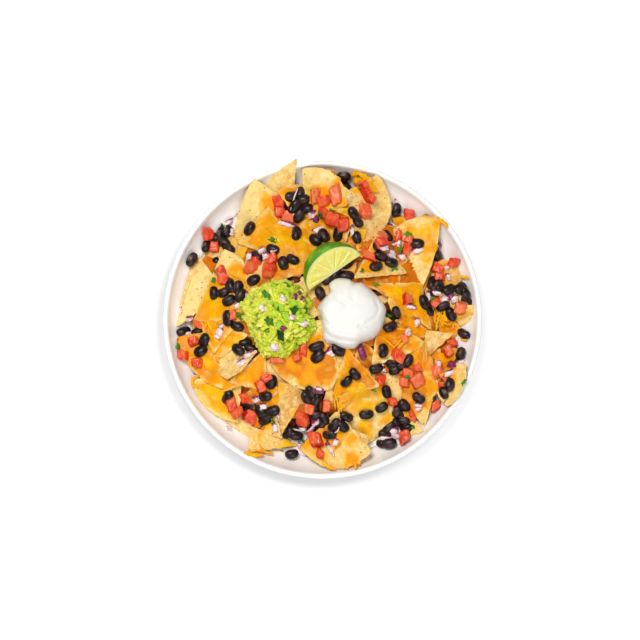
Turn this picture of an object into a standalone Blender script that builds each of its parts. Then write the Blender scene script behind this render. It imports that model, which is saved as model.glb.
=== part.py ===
"""Loaded nachos on a white coupe plate, with guacamole, sour cream and a lime wedge.

The plate stands on Z = 0 with its centre on the Z axis. +Y is the far side of the plate and +X its right.
All sizes and places below are in millimetres, and MM turns them into Blender's metres.
"""
import math
import random

import bmesh
import bpy
import numpy as np
from mathutils import Euler, Matrix, Vector

MM = 0.001
SEED = 11

# Room between touching solids: between smooth ones, between few-sided ones, and round each thing cut clear
CLEARANCE = 0.35
FACET_CLEARANCE = 0.8
PLATE_ROOM = 0.45
LIME_ROOM = 0.7
LOOSE_ROOM = 0.5
# The room under the heap reaches this far past the plate's edge and below its foot
ROOM_OUTWARD = 25.0
ROOM_BELOW = -20.0

# Plate, turned about the Z axis
PLATE_RADIUS = 135.0
PLATE_HEIGHT = 22.0
PLATE_SEGMENTS = 48
PLATE_FLOOR = 6.0
FOOT_OUTER = 72.0
FOOT_INNER = 65.0
FOOT_RISE = 2.2
LIP_WIDTH = 4.2
LIP_CROWN = PLATE_RADIUS - 2.6

# The plate's inner face from the centre outwards, as (radius, height)
PLATE_INSIDE = (
    (0.0, PLATE_FLOOR),
    (106.0, PLATE_FLOOR),
    (117.0, PLATE_FLOOR + 1.2),
    (124.0, PLATE_FLOOR + 4.6),
    (128.4, PLATE_FLOOR + 9.6),
    (PLATE_RADIUS - LIP_WIDTH, PLATE_HEIGHT - 1.2),
)
# The plate's lip and outer face, from the inner edge of the lip down to the foot and the centre
PLATE_OUTSIDE = (
    (LIP_CROWN, PLATE_HEIGHT),
    (PLATE_RADIUS - 0.7, PLATE_HEIGHT - 0.5),
    (PLATE_RADIUS, PLATE_HEIGHT - 2.0),
    (132.6, 15.5),
    (127.0, 8.6),
    (118.0, 4.2),
    (106.0, FOOT_RISE),
    (FOOT_OUTER + 2.5, FOOT_RISE),
    (FOOT_OUTER, 0.0),
    (FOOT_INNER, 0.0),
    (FOOT_INNER - 2.0, FOOT_RISE),
    (0.0, FOOT_RISE),
)

# The hidden middle of the heap, a dome of crushed chips and cheese
CORE_RADIUS = 101.0
CORE_HEIGHT = 32.0
CORE_FALL = 0.75
CORE_SIDES = 30
CORE_SHARES = (1.0, 0.92, 0.8, 0.6, 0.35)
# A body of few flat sides is made a little larger, so that it fills the smooth one on average
CORE_SWELL = 0.8
BEAN_SWELL = 1.06

# Tortilla chips, cut from round tortillas, so that a whole chip has one bowed edge
CHIP_THICKNESS = 2.0
CHIP_SINK = 0.7
STRONG_BOW = 7.0
STEEPEST_CHIP = 0.5
# A chip settles from spots this far off and this far down, to within a gap, in at most so many rounds
SETTLE_FAR = 400.0
SETTLE_LOW = -8000.0
SETTLE_TURN = 0.3
SETTLE_GAP = 0.02
SETTLE_ROUNDS = 60
CELL = 2.0
GRID_REACH = 136.0

# Toppings: how large each is, how far it sinks into what it lies on, and how level it came to rest
BEAN = (12.4, 8.4, 7.2)
BEAN_REACH = 4.0
BEAN_SIZES = (0.93, 1.06)
TOMATO_HEIGHT = 7.5
ONION_HEIGHT = 3.2
BLOCK_PINCH = 0.9
TOPPING_SINK = 1.1
NESTLE = 0.55
ROLL = 0.3
PITCH = 0.15
LEAN = 0.22
LEVEL = Matrix.Identity(4)
# A piece on the bare plate lies along it, by the plate's rise over this reach on either side
LOOSE_REACH = 4.0

# What stands on the heap: the underside's height, and the height of each above it
GUACAMOLE_BASE = 27.0
GUACAMOLE_HEIGHT = 36.0
CREAM_BASE = 29.0
CREAM_HEIGHT = 29.0
MOUND_RINGS = 6
MOUND_SIDE = 0.75
MOUND_TOP = 0.85
LIME_RADIUS = 26.0
LIME_HALF_LENGTH = 26.5
LIME_AXIS_HEIGHT = 42.0
LIME_FACE_RISE = math.radians(48.0)
LIME_WEDGE_ANGLE = math.radians(64.0)
LIME_TIPS = ((-11.0, 22.3), (31.4, 51.6))
LIME_SLICES = 6
LIME_STATIONS = 10
LIME_STEP_BACK = 2.5

GUACAMOLE_OUTLINE = (
    (-45, 31), (-35.5, 31.6), (-26, 30), (-15, 21), (-8, 12.5), (-10, 6), (-5, -5), (-8, -19), (-18.6, -27),
    (-30, -36), (-41, -35.6), (-52.5, -30), (-59, -16), (-65.6, -2), (-69.4, 7.5), (-62.5, 20), (-54, 27),
)
CREAM_OUTLINE = (
    (6, 24), (14.5, 33), (26, 29.5), (33, 29), (40, 26), (50, 13), (54, 7), (52, -7), (45, -17),
    (32, -22), (21, -27.4), (8, -22), (-1, -18), (-1, -11), (-5.5, 6.4), (0, 16),
)

# Every chip in the order it was laid: its corners, how far an edge bows out, how far corners are raised
CHIPS = (
    ("sw_under", ((-93, -79), (-61, -101), (-58, -75)), {}, {}),
    ("se_under", ((86, -95), (73, -99), (70, -72)), {}, {}),
    ("nw_back", ((-49, 115), (-40, 125), (-25, 95)), {}, {}),
    ("w_back", ((-110, 52), (-122, 10), (-90, 30)), {}, {}),
    ("ne_back", ((58, 88), (100, 87), (80, 60)), {}, {}),
    ("sw_big", ((-112, -50), (-71, -88), (-68, -48)), {0: 9}, {}),
    ("se_right", ((121, -38), (105, -75), (78, -38)), {0: 6}, {}),
    ("ne_round", ((47, 123), (36, 64), (12, 100)), {0: 17}, {}),
    ("north_tip", ((-21, 132), (-42, 123.5), (-27, 88)), {}, {}),
    ("east_mid", ((128, 12), (115, -6), (92, 12)), {0: 5}, {}),
    ("east_top", ((95, 51), (118, 32), (88, 18)), {0: 9}, {}),
    ("south", ((-19, -109), (42, -112), (12, -78)), {0: 16}, {}),
    ("south_west", ((-61, -90), (-63, -113), (-20, -106)), {}, {0: 2.5, 1: 1.5}),
    ("west_low", ((-122, -14), (-76, -61), (-78, -8)), {0: 12}, {}),
    ("nw_tall", ((-58, 120), (-76, 65), (-28, 101)), {0: 4}, {}),
    ("w_tall", ((-105, 55), (-125, -7), (-82, 22)), {}, {}),
    ("ne_long", ((59, 76), (100, 85), (85, 27)), {0: 6, 1: 3}, {}),
    ("shelf_s", ((26, 32), (72, 38), (46, 72)), {}, {0: 3, 1: 4}),
    ("e_under", ((60, 14), (93, -13), (68, -22)), {}, {}),
    ("e_cream", ((88, -21), (41, -40), (48, 4)), {0: 3}, {}),
    ("se_tip", ((86.5, -91.5), (63, -64), (98, -50)), {}, {}),
    ("s_right", ((12, -75), (34, -42), (67.5, -48.5), (37.5, -106)), {2: 10}, {}),
    ("s_centre", ((20, -26), (49, -58), (8, -68)), {}, {}),
    ("s_inner", ((0, -88), (25, -92), (9, -112)), {}, {}),
    ("s_leaf", ((22, -92), (36, -110), (40, -100)), {}, {}),
    ("s_fold", ((-37, -55), (-10, -58), (-37, -101)), {}, {0: 5, 1: -2}),
    ("s_flap", ((-50, -96), (-34, -101), (-40, -78)), {}, {}),
    ("s_shelf", ((-46, -36), (8, -60), (15, -46), (2, -5)), {0: 11}, {}),
    ("sw_inner", ((-80, -54), (-48, -26), (-46, -62)), {}, {}),
    ("w_curl", ((-54, -28), (-80, -20), (-88, -38), (-86, -48), (-80, -52), (-69, -46)), {}, {0: 5}),
    ("w_tip", ((-97, -32), (-80, -8), (-62, -14), (-84, -33)), {}, {}),
    ("w_big", ((-83.5, 61), (-110.5, -1), (-66, -3), (-58, 16), (-67, 51)), {}, {}),
    ("nw_big", ((-73, 65), (-46, 98), (-14, 42)), {}, {}),
    ("n_inner", ((-12, 80), (10, 60), (5, 92)), {}, {}),
    ("ne_tip", ((38.5, 99.7), (12, 114), (14, 88)), {}, {}),
    ("north", ((-17.5, 128.5), (21, 95), (-16, 86)), {0: 13}, {1: -2.5, 2: -4.5}),
    ("n_yellow", ((27, 83), (22, 92), (8, 91)), {}, {}),
    ("n_bean", ((38, 75), (26, 79), (30, 55)), {}, {}),
    ("e_big", ((42, 29), (84, 31), (93, -11)), {}, {}),
    ("lime_under", ((13, 40), (29, 47), (26, 35.5)), {}, {}),
    ("e_triangle", ((87.5, -10), (111, -12), (84, -37)), {}, {}),
)

# Black beans as (x, y, turn in degrees)
BEANS = (
    (-87, 74, 70), (-81, 76, 60), (-84, 66, 150), (-80, 61, -40), (-62, 77, 50), (-92, 49, 30),
    (-56, 52, -30), (20, 114, -60), (-19, 107, 80), (-17, 102, -5), (-30, 97, 80), (-24, 95, 60),
    (-14, 94, -5), (-20, 88, 60), (-22, 72, 85), (-6, 66, -45), (1, 70, -65), (13, 71, 80),
    (29, 68, -80), (26, 88, -50), (30, 81, -45), (-42, 58, -20), (-33, 46, -80), (-25, 49, -30),
    (55, 71, -60), (80, 64, -5), (98, 55, -50), (49, 52, -15), (58, 47, -5), (45, 43, 25),
    (-92, 22, 90), (-84, 22, 20), (-78, 28, -70), (-71, 26, 80), (-79, 15, 30), (-69, 19, 60),
    (-58, 32, 20), (-80, 0, 90), (-72, -7, -20), (-118, -10, 20), (-106, -10, 30), (-100, -18, 60),
    (-103, -27, 30), (-65, -21, 5), (-71, -27, -35), (-60, -26, -20), (-2, 20, -70), (5, 32, 40),
    (11, 36, 45), (20, 35, 0), (21, 46, 45), (-5, -25, 20), (-4, -33, 45), (13, -28, -30),
    (27, -48, -50), (45, -43, 15), (62, 4, -75), (57, -8, 25), (51, -28, 90), (72, -36, 60),
    (93, 31, 80), (99, 28, 80), (107, 25, 30), (117, 26, 50), (121, 22, -50), (122, 16, -50),
    (102, 11, 25), (109, 4, -65), (90, 8, -65), (120, -12, -30), (59, -39, -10), (61, -44, 30),
    (-80, -66, 60), (-48, -66, 15), (-62, -74, 15), (-52, -78, -30), (-42, -78, 20), (-49, -85, 20),
    (-53, -90, 20), (-43, -54, 75), (-10, -63, -60), (-13, -68, -60), (-5, -69, 70), (-6, -82, 20),
    (1, -84, -60), (-2, -88, -50), (10, -90, 50), (17, -91, -40), (20, -83, -20), (6, -98, 10),
    (37, -81, 5), (20, -54, 40), (-29, -96, 55), (-23, -98, -15), (54, -62, -75), (50, -75, 35),
    (81, -67, -35), (102, -63, -60), (107, -56, 85), (69, -73, -50), (66, -81, -40), (68, -86, 0),
    (71, -92, 10), (51, -105, -5), (53, -97, 0),
)

# Diced tomato as (x, y, length, width, turn in degrees)
TOMATOES = (
    (-92, 63, 8, 8, 10), (-59, 44, 8, 12, 160), (-43, 48, 8, 8, 20), (-44, 39, 8, 10, 0),
    (-37, 100, 11, 11, 10), (-36, 91, 9, 8, 0), (-28, 87, 11, 9, -20), (-6, 104, 8, 12, 5),
    (1, 99, 10, 8, 10), (11, 104, 9, 13, 5), (1, 90, 9, 8, -30), (8, 84, 11, 11, -20),
    (17, 79, 9, 9, 10), (33, 112, 12, 6, -10), (38, 105, 6, 14, 35), (36, 91, 9, 10, 0),
    (42, 101, 7, 6, -20), (65, 71, 6, 8, 20), (73, 68, 9, 6, 0), (72, 61, 9, 10, 5), (51, 70, 12, 8, 0),
    (50, 63, 10, 8, 10), (98, 43, 9, 9, -20), (99, 36, 8, 7, 0), (39, 52, 13, 7, -25),
    (-86, 39, 8, 8, 10), (-84, 33, 9, 8, -20), (-76, 2, 6, 7, 10), (-105, -4, 9, 6, -20),
    (-109, -19, 8, 6, 20), (-106, -37, 9, 7, 0), (-16, -27, 6, 9, 0), (-38, -36, 12, 5, 0),
    (-21, -34, 7, 6, 30), (72, 16, 9, 9, 0), (117, 10, 10, 9, 0), (96, 14, 8, 6, 30),
    (64, -32, 12, 9, -25), (69, -17, 5, 6, 0), (110, -20, 8, 8, 10), (106, -27, 8, 8, 30),
    (80, -42, 7, 7, 15), (97, -44, 10, 8, 25), (72, -46, 10, 8, -20), (-52, -57, 9, 9, 25),
    (-65, -67, 9, 9, 20), (-77, -72, 8, 10, 25), (-72, -79, 9, 7, 30), (-61, -82, 12, 10, -30),
    (-47, -51, 9, 6, 25), (-11, -76, 10, 8, -25), (-17, -85, 11, 9, 10), (3, -74, 7, 9, 10),
    (-6, -102, 11, 12, 5), (-2, -114, 7, 8, -20), (49, -52, 9, 9, 10), (59, -70, 7, 7, 10),
    (80, -52, 11, 11, 20), (69, -54, 9, 8, -10), (102, -53, 7, 9, -20), (96, -73, 9, 8, 15),
    (76, -81, 4, 8, 20),
)

# The larger pieces of onion as (x, y, length, width, turn in degrees)
ONIONS = (
    (-80, 84, 7, 4, 20), (-78, 76, 5, 7, 0), (-51, 57, 7, 5, 30), (-48, 52, 6, 5, 0),
    (-62, 52, 5, 6, 0), (-30, 80, 14, 4, -15), (-9, 89, 9, 6, 10), (-3, 75, 10, 6, 30),
    (25, 74, 4, 9, 10), (61, 64, 6, 6, 20), (65, 65, 4, 7, 0), (52, 59, 8, 4, 10), (58, 54, 7, 8, -20),
    (67, 52, 8, 7, 10), (81, 59, 9, 5, 30), (107, 36, 4, 7, 10), (90, 20, 4, 9, 10), (97, 22, 7, 4, 0),
    (104, 17, 5, 8, -50), (108, 21, 6, 6, 20), (112, 17, 6, 7, 10), (75, 10, 10, 4, -10),
    (80, -3, 5, 7, 0), (72, -12, 4, 9, 0), (118, -37, 6, 5, 0), (109, -39, 6, 6, 20),
    (107, -46, 9, 5, 20), (7, -29, 8, 6, 40), (33, -29, 6, 9, 20), (-87, -12, 6, 10, -20),
    (-72, 10, 6, 5, 20), (-62, -31, 7, 5, 10), (-68, -38, 7, 5, 20), (-56, -68, 6, 6, 20),
    (-50, -74, 7, 5, 0), (-40, -92, 5, 8, 10), (-3, -62, 9, 5, 0), (-17, -92, 7, 4, 0),
    (-6, -87, 8, 4, 30), (-10, -94, 10, 3, 40), (-19, -107, 4, 6, 0), (6, -109, 4, 12, 30),
    (11, -104, 5, 7, -20), (81, -73, 7, 5, 0), (60, -95, 8, 9, 0),
)

# Pieces that fell on the bare plate: node name, kind, x, y, length, width, turn in degrees
LOOSE = (
    ("bean_north", "bean", 18, 122, 0, 0, 0),
    ("bean_south", "bean", -26, -114, 0, 0, 10),
    ("bean_east", "bean", 117, -29, 0, 0, 65),
    ("bean_west", "bean", -111, 51, 0, 0, 60),
    ("bean_northwest", "bean", -99, 63, 0, 0, 75),
    ("bean_northeast", "bean", 63, 94, 0, 0, 75),
    ("bean_southeast", "bean", 56.5, -105, 0, 0, 5),
    ("tomato_northwest", "tomato", -97, 73, 8, 10, -10),
    ("tomato_north", "tomato", 74, 90, 9, 8, 5),
    ("tomato_northeast", "tomato", 111, 48.5, 8, 8, -20),
    ("tomato_west", "tomato", -118, -30.5, 6, 8, 10),
    ("tomato_southeast", "tomato", 69, -99, 10, 11, 20),
    ("onion_northeast", "onion", 99, 64, 5, 4, 10),
)

COLOURS = {
    "plate": ((0.93, 0.92, 0.91, 1.0), 0.15),
    "nacho_heap": ((0.86, 0.56, 0.16, 1.0), 0.5),
    "guacamole": ((0.52, 0.58, 0.12, 1.0), 0.4),
    "sour_cream": ((0.93, 0.93, 0.91, 1.0), 0.25),
    "lime_wedge": ((0.55, 0.68, 0.15, 1.0), 0.35),
    "bean": ((0.03, 0.02, 0.03, 1.0), 0.35),
    "tomato": ((0.75, 0.12, 0.06, 1.0), 0.3),
    "onion": ((0.86, 0.72, 0.78, 1.0), 0.3),
}


def clear_scene():
    """Removes whatever the scene holds."""
    for old in list(bpy.data.objects):
        bpy.data.objects.remove(old, do_unlink=True)


def material(kind):
    """The Principled material of one kind of food or of the plate."""
    found = bpy.data.materials.get(kind)
    if found:
        return found
    made = bpy.data.materials.new(kind)
    made.use_nodes = True
    shader = made.node_tree.nodes["Principled BSDF"]
    colour, roughness = COLOURS[kind]
    shader.inputs["Base Color"].default_value = colour
    shader.inputs["Roughness"].default_value = roughness
    return made


def new_object(name, mesh_builder, kind):
    """Turns a bmesh in millimetres into an object in metres, with its faces pointing out."""
    bmesh.ops.scale(mesh_builder, vec=(MM, MM, MM), verts=mesh_builder.verts)
    bmesh.ops.recalc_face_normals(mesh_builder, faces=mesh_builder.faces)
    mesh = bpy.data.meshes.new(name)
    mesh_builder.to_mesh(mesh)
    mesh_builder.free()
    mesh.materials.append(material(kind))
    made = bpy.data.objects.new(name, mesh)
    bpy.context.scene.collection.objects.link(made)
    return made


def closed_loft(rings):
    """A closed body through rings of points of equal number, capped at both ends."""
    body = bmesh.new()
    rows = [[body.verts.new(point) for point in ring] for ring in rings]
    sides = len(rows[0])
    for lower, upper in zip(rows, rows[1:]):
        for k in range(sides):
            after = (k + 1) % sides
            body.faces.new((lower[k], lower[after], upper[after], upper[k]))
    for row in (rows[0], rows[-1]):
        middle = body.verts.new(sum((v.co for v in row), Vector()) / sides)
        for k in range(sides):
            body.faces.new((row[k], row[(k + 1) % sides], middle))
    return body


def turned(profile, segments):
    """A closed body turned about the Z axis from a profile of (radius, height) that ends on it."""
    body = bmesh.new()
    path = [body.verts.new((radius, 0.0, height)) for radius, height in profile]
    edges = [body.edges.new(pair) for pair in zip(path, path[1:])]
    bmesh.ops.spin(body, geom=path + edges, axis=(0, 0, 1), cent=(0, 0, 0), angle=math.tau, steps=segments)
    bmesh.ops.remove_doubles(body, verts=body.verts, dist=0.001)
    return body


def plate_surface(radius):
    """The height of the plate's upper face at a distance from its centre."""
    known = PLATE_INSIDE + ((LIP_CROWN, PLATE_HEIGHT), (PLATE_RADIUS + ROOM_OUTWARD, PLATE_HEIGHT))
    return np.interp(radius, [r for r, _ in known], [h for _, h in known])


def core_share(radius):
    """The height of the core at a distance from the centre, as a share of its full height."""
    return np.clip(1.0 - (radius / CORE_RADIUS) ** 2, 0.0, 1.0) ** CORE_FALL


class Surface:
    """The upper surface of what has been laid so far, as heights on a square grid."""

    def __init__(self):
        axis = np.arange(-GRID_REACH, GRID_REACH + CELL, CELL)
        self.x, self.y = np.meshgrid(axis, axis, indexing="ij")
        radius = np.hypot(self.x, self.y)
        core = PLATE_FLOOR + CORE_HEIGHT * core_share(radius)
        self.z = np.maximum(plate_surface(radius) + CLEARANCE, np.where(radius < CORE_RADIUS, core, 0.0))

    def under(self, outline):
        """Which grid points lie inside an outline."""
        hit = np.zeros(self.x.shape, bool)
        for (x1, y1), (x2, y2) in zip(outline, outline[1:] + outline[:1]):
            crosses = (y1 > self.y) != (y2 > self.y)
            edge_x = x1 + (x2 - x1) * (self.y - y1) / (y2 - y1 + 1e-9)
            hit ^= crosses & (self.x < edge_x)
        return hit

    def near(self, x, y, reach):
        """Which grid points lie within reach of a point."""
        return np.hypot(self.x - x, self.y - y) < reach

    def seat(self, x, y, reach):
        """The height at which a small piece nestles among what lies round it."""
        return float(np.quantile(self.z[self.near(x, y, reach)], NESTLE))


def plane_through(points):
    """The (a, b, c) of the plane z = a x + b y + c through three points."""
    rows = np.array([(x, y, 1.0) for x, y, _ in points])
    return np.linalg.solve(rows, np.array([z for _, _, z in points]))


def surrounds(points, centre):
    """True if the centre lies in the triangle of the points, seen from above."""
    turns = []
    for (x1, y1, _), (x2, y2, _) in zip(points, points[1:] + points[:1]):
        turns.append((x2 - x1) * (centre[1] - y1) - (y2 - y1) * (centre[0] - x1))
    return min(turns) > 1e-6 or max(turns) < -1e-6


def resting_plane(spots, centre):
    """The plane on which a stiff chip comes to rest: it touches three spots round its centre, and no other
    spot stands above it. It starts on three spots far away and far below, and each round swaps one of the
    three for the spot that sticks out most."""
    turns = [SETTLE_TURN + k * math.tau / 3 for k in range(3)]
    touching = [(centre[0] + SETTLE_FAR * math.cos(turn), centre[1] + SETTLE_FAR * math.sin(turn), SETTLE_LOW)
                for turn in turns]
    plane = plane_through(touching)
    for _ in range(SETTLE_ROUNDS):
        above = spots[:, 2] - (spots[:, 0] * plane[0] + spots[:, 1] * plane[1] + plane[2])
        worst = int(above.argmax())
        if above[worst] < SETTLE_GAP:
            break
        newcomer = tuple(spots[worst])
        trials = [touching[:k] + [newcomer] + touching[k + 1:] for k in range(3)]
        fitting = [trial for trial in trials if surrounds(trial, centre)]
        if not fitting:
            break
        touching = fitting[0]
        plane = plane_through(touching)
    return plane


def eased(plane, centre):
    """The same plane, turned about the chip's centre until it is no steeper than a chip can lie."""
    slope = math.hypot(plane[0], plane[1])
    if slope > STEEPEST_CHIP:
        height = float(np.dot(plane, (*centre, 1.0)))
        plane = plane * (STEEPEST_CHIP / slope)
        plane[2] = height - float(np.dot(plane[:2], centre))
    return plane


def chip_outline(corners, bows):
    """The corners, with points between them where an edge bows out."""
    outline = []
    middle = np.mean(corners, axis=0)
    for k, start in enumerate(corners):
        end = corners[(k + 1) % len(corners)]
        outline.append(tuple(float(v) for v in start))
        bow = bows.get(k, 0.0)
        if not bow:
            continue
        along = np.subtract(end, start)
        outward = np.array((along[1], -along[0])) / np.hypot(*along)
        if np.dot(outward, np.subtract(start, middle)) < 0:
            outward = -outward
        steps = 4 if bow > STRONG_BOW else 2
        for step in range(1, steps):
            share = step / steps
            swell = bow * 4.0 * share * (1.0 - share)
            outline.append(tuple(float(v) for v in np.add(start, along * share + outward * swell)))
    return outline


def lay_chip(surface, corners, bows, lifts):
    """Lays a chip on the heap, adds it to the surface, and returns its outline and its underside's plane."""
    outline = chip_outline(corners, bows)
    hit = surface.under(outline)
    spots = np.column_stack((surface.x[hit], surface.y[hit], surface.z[hit]))
    centre = np.mean(outline, axis=0)
    plane = eased(resting_plane(spots, centre), centre)
    if lifts:
        plane = plane + plane_through([(*corners[k], lifts.get(k, 0.0)) for k in range(3)])
    plane[2] -= CHIP_SINK
    top = surface.x * plane[0] + surface.y * plane[1] + plane[2] + CHIP_THICKNESS
    surface.z = np.where(hit, np.maximum(surface.z, top), surface.z)
    return outline, plane


def chip(name, outline, plane):
    """A flat chip of even thickness over its outline."""
    rings = []
    for height in (0.0, CHIP_THICKNESS):
        rings.append([(x, y, plane[0] * x + plane[1] * y + plane[2] + height) for x, y in outline])
    body = bmesh.new()
    lower, upper = ([body.verts.new(point) for point in ring] for ring in rings)
    count = len(outline)
    for k in range(count):
        after = (k + 1) % count
        body.faces.new((lower[k], lower[after], upper[after], upper[k]))
    body.faces.new(lower)
    body.faces.new(upper)
    return new_object(name, body, "nacho_heap")


def core():
    """The dome in the middle of the heap, which stands just clear of the plate."""
    rings = [circle(CORE_RADIUS, PLATE_FLOOR, CORE_SIDES)]
    for share in CORE_SHARES:
        radius = CORE_RADIUS * share
        height = PLATE_FLOOR + CORE_HEIGHT * float(core_share(radius))
        rings.append(circle(radius, height + CORE_SWELL, CORE_SIDES))
    return new_object("core", closed_loft(rings), "nacho_heap")


def circle(radius, height, sides):
    """Points round the Z axis."""
    turns = [math.tau * k / sides for k in range(sides)]
    return [(radius * math.cos(turn), radius * math.sin(turn), height) for turn in turns]


def bean(name, x, y, base, turn, draw, grow=0.0, tip=LEVEL):
    """A black bean lying on its side, with few faces."""
    body = bmesh.new()
    size = draw.uniform(*BEAN_SIZES)
    bmesh.ops.create_icosphere(body, subdivisions=1, radius=0.5)
    sides = [(side * size + 2 * grow) * BEAN_SWELL for side in BEAN]
    bmesh.ops.scale(body, vec=sides, verts=body.verts)
    place = Matrix.Translation((x, y, base + BEAN[2] * size / 2))
    lean = Euler((draw.uniform(-ROLL, ROLL), draw.uniform(-PITCH, PITCH), math.radians(turn)))
    bmesh.ops.transform(body, matrix=place @ tip @ lean.to_matrix().to_4x4(), verts=body.verts)
    return new_object(name, body, "bean")


def block(name, kind, x, y, base, size, turn, draw, grow=0.0, tip=LEVEL):
    """A cut piece of tomato or onion: a block that leans a little, as dropped."""
    body = bmesh.new()
    bmesh.ops.create_cube(body, size=1.0)
    sides = [side + 2 * grow for side in size]
    bmesh.ops.scale(body, vec=sides, verts=body.verts)
    for vert in body.verts:
        pinch = BLOCK_PINCH if vert.co.z > 0 else 1.0
        vert.co.x *= pinch
    place = Matrix.Translation((x, y, base + size[2] / 2))
    lean = Euler((draw.uniform(-LEAN, LEAN), draw.uniform(-LEAN, LEAN), math.radians(turn)))
    bmesh.ops.transform(body, matrix=place @ tip @ lean.to_matrix().to_4x4(), verts=body.verts)
    return new_object(name, body, kind)


def mound(name, kind, outline, base, height, relief, grow=0.0):
    """A heaped spoonful on its outline: steep at the sides and round on top, with its own relief."""
    middle = np.mean(outline, axis=0)
    rings = []
    for step in range(MOUND_RINGS):
        climb = step / MOUND_RINGS * math.pi / 2
        share = math.cos(climb) ** MOUND_SIDE
        rise = math.sin(climb) ** MOUND_TOP
        ring = []
        for k, point in enumerate(outline):
            away = np.subtract(point, middle)
            reach = np.hypot(*away)
            x, y = middle + away * share * (1.0 + grow / reach)
            ring.append((x, y, base - grow + (height + 2 * grow) * rise + relief(k, step)))
        rings.append(ring)
    return new_object(name, closed_loft(rings), kind)


def guacamole_relief(k, step):
    """Lumps of mashed avocado: each point of a ring stands a little in or out."""
    return 0.0 if step == 0 else 1.3 * math.sin(2.4 * k + 1.9 * step)


def cream_relief(k, step):
    """The fold left by the spoon, which winds up the dollop."""
    return 0.0 if step == 0 else 1.1 * math.sin(0.8 * k + 1.6 * step)


def guacamole(name, grow=0.0):
    """The scoop of guacamole."""
    size = (GUACAMOLE_OUTLINE, GUACAMOLE_BASE, GUACAMOLE_HEIGHT)
    return mound(name, "guacamole", *size, guacamole_relief, grow)


def sour_cream(name, grow=0.0):
    """The dollop of sour cream."""
    return mound(name, "sour_cream", CREAM_OUTLINE, CREAM_BASE, CREAM_HEIGHT, cream_relief, grow)


def lime_wedge(name, grow=0.0):
    """A wedge cut from pole to pole: two flat faces that meet on the fruit's axis, and the round rind.
    Where it grows, it also steps back from its rind, so that both of its faces move out."""
    body = bmesh.new()
    half_length = LIME_HALF_LENGTH + grow
    step_back = LIME_STEP_BACK * grow
    poles = [body.verts.new((side * half_length, 0.0, 0.0)) for side in (-1, 1)]
    extra = math.atan2(grow, LIME_RADIUS / 2)
    spread = LIME_WEDGE_ANGLE + 2 * extra
    arcs = []
    for k in range(LIME_SLICES + 1):
        turn = LIME_FACE_RISE + extra - spread * k / LIME_SLICES
        arc = []
        for step in range(1, LIME_STATIONS):
            along = -math.cos(math.pi * step / LIME_STATIONS)
            radius = (LIME_RADIUS + grow + step_back) * math.sqrt(1.0 - along * along)
            place = (along * half_length, radius * math.cos(turn), radius * math.sin(turn))
            arc.append(body.verts.new(place))
        arcs.append([poles[0]] + arc + [poles[1]])
    for arc, following in zip(arcs, arcs[1:]):
        for k in range(LIME_STATIONS):
            corners = [arc[k], following[k], following[k + 1], arc[k + 1]]
            body.faces.new(list(dict.fromkeys(corners)))
    body.faces.new(arcs[0])
    body.faces.new(list(reversed(arcs[-1])))
    back = Vector((0.0, -step_back, 0.0))
    (x1, y1), (x2, y2) = LIME_TIPS
    place = Matrix.Translation(((x1 + x2) / 2, (y1 + y2) / 2, LIME_AXIS_HEIGHT))
    turn = Matrix.Rotation(math.atan2(y2 - y1, x2 - x1), 4, "Z")
    bmesh.ops.transform(body, matrix=place @ turn @ Matrix.Translation(back), verts=body.verts)
    return new_object(name, body, "lime_wedge")


def plate(name):
    """The white plate."""
    made = new_object(name, turned(PLATE_INSIDE + PLATE_OUTSIDE, PLATE_SEGMENTS), "plate")
    made.data.shade_smooth()
    made.data.set_sharp_from_angle(angle=math.radians(40))
    return made


def plate_cutter(name):
    """All that lies below the plate's upper face or within the clearance over it."""
    flat_radius = PLATE_INSIDE[1][0]
    raised = [(radius - (CLEARANCE / 2 if radius > flat_radius else 0.0), height + PLATE_ROOM)
              for radius, height in PLATE_INSIDE]
    outer = PLATE_RADIUS + ROOM_OUTWARD
    top = PLATE_HEIGHT + PLATE_ROOM
    profile = raised + [(LIP_CROWN - CLEARANCE, top), (outer, top), (outer, ROOM_BELOW), (0.0, ROOM_BELOW)]
    return new_object(name, turned(profile, PLATE_SEGMENTS), "plate")


def topping(name, kind, x, y, length, width, turn, base, draw, grow=0.0, tip=LEVEL):
    """One bean, die of tomato or piece of onion at its place."""
    if kind == "bean":
        return bean(name, x, y, base, turn, draw, grow, tip)
    height = TOMATO_HEIGHT if kind == "tomato" else ONION_HEIGHT
    return block(name, kind, x, y, base, (length, width, height), turn, draw, grow, tip)


def heap_pieces(surface):
    """The core, every chip, and the toppings fused to them."""
    pieces = [core()]
    for name, corners, bows, lifts in CHIPS:
        outline, plane = lay_chip(surface, corners, bows, lifts)
        pieces.append(chip("chip_" + name, outline, plane))
    draw = random.Random(SEED)
    for k, (x, y, turn) in enumerate(BEANS):
        base = surface.seat(x, y, BEAN_REACH) - TOPPING_SINK
        pieces.append(topping(f"bean_{k}", "bean", x, y, 0, 0, turn, base, draw))
    for kind, rows in (("tomato", TOMATOES), ("onion", ONIONS)):
        for k, (x, y, length, width, turn) in enumerate(rows):
            base = surface.seat(x, y, max(length, width) / 2) - TOPPING_SINK
            pieces.append(topping(f"{kind}_{k}", kind, x, y, length, width, turn, base, draw))
    return pieces


def along_plate(x, y):
    """The turn that lays a loose piece along the plate, which rises towards its edge."""
    radius = math.hypot(x, y)
    outer, inner = plate_surface(radius + LOOSE_REACH), plate_surface(radius - LOOSE_REACH)
    rise = float(outer - inner) / (2 * LOOSE_REACH)
    upright = Vector((0.0, 0.0, 1.0))
    normal = Vector((-rise * x / radius, -rise * y / radius, 1.0)).normalized()
    return upright.rotation_difference(normal).to_matrix().to_4x4()


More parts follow.
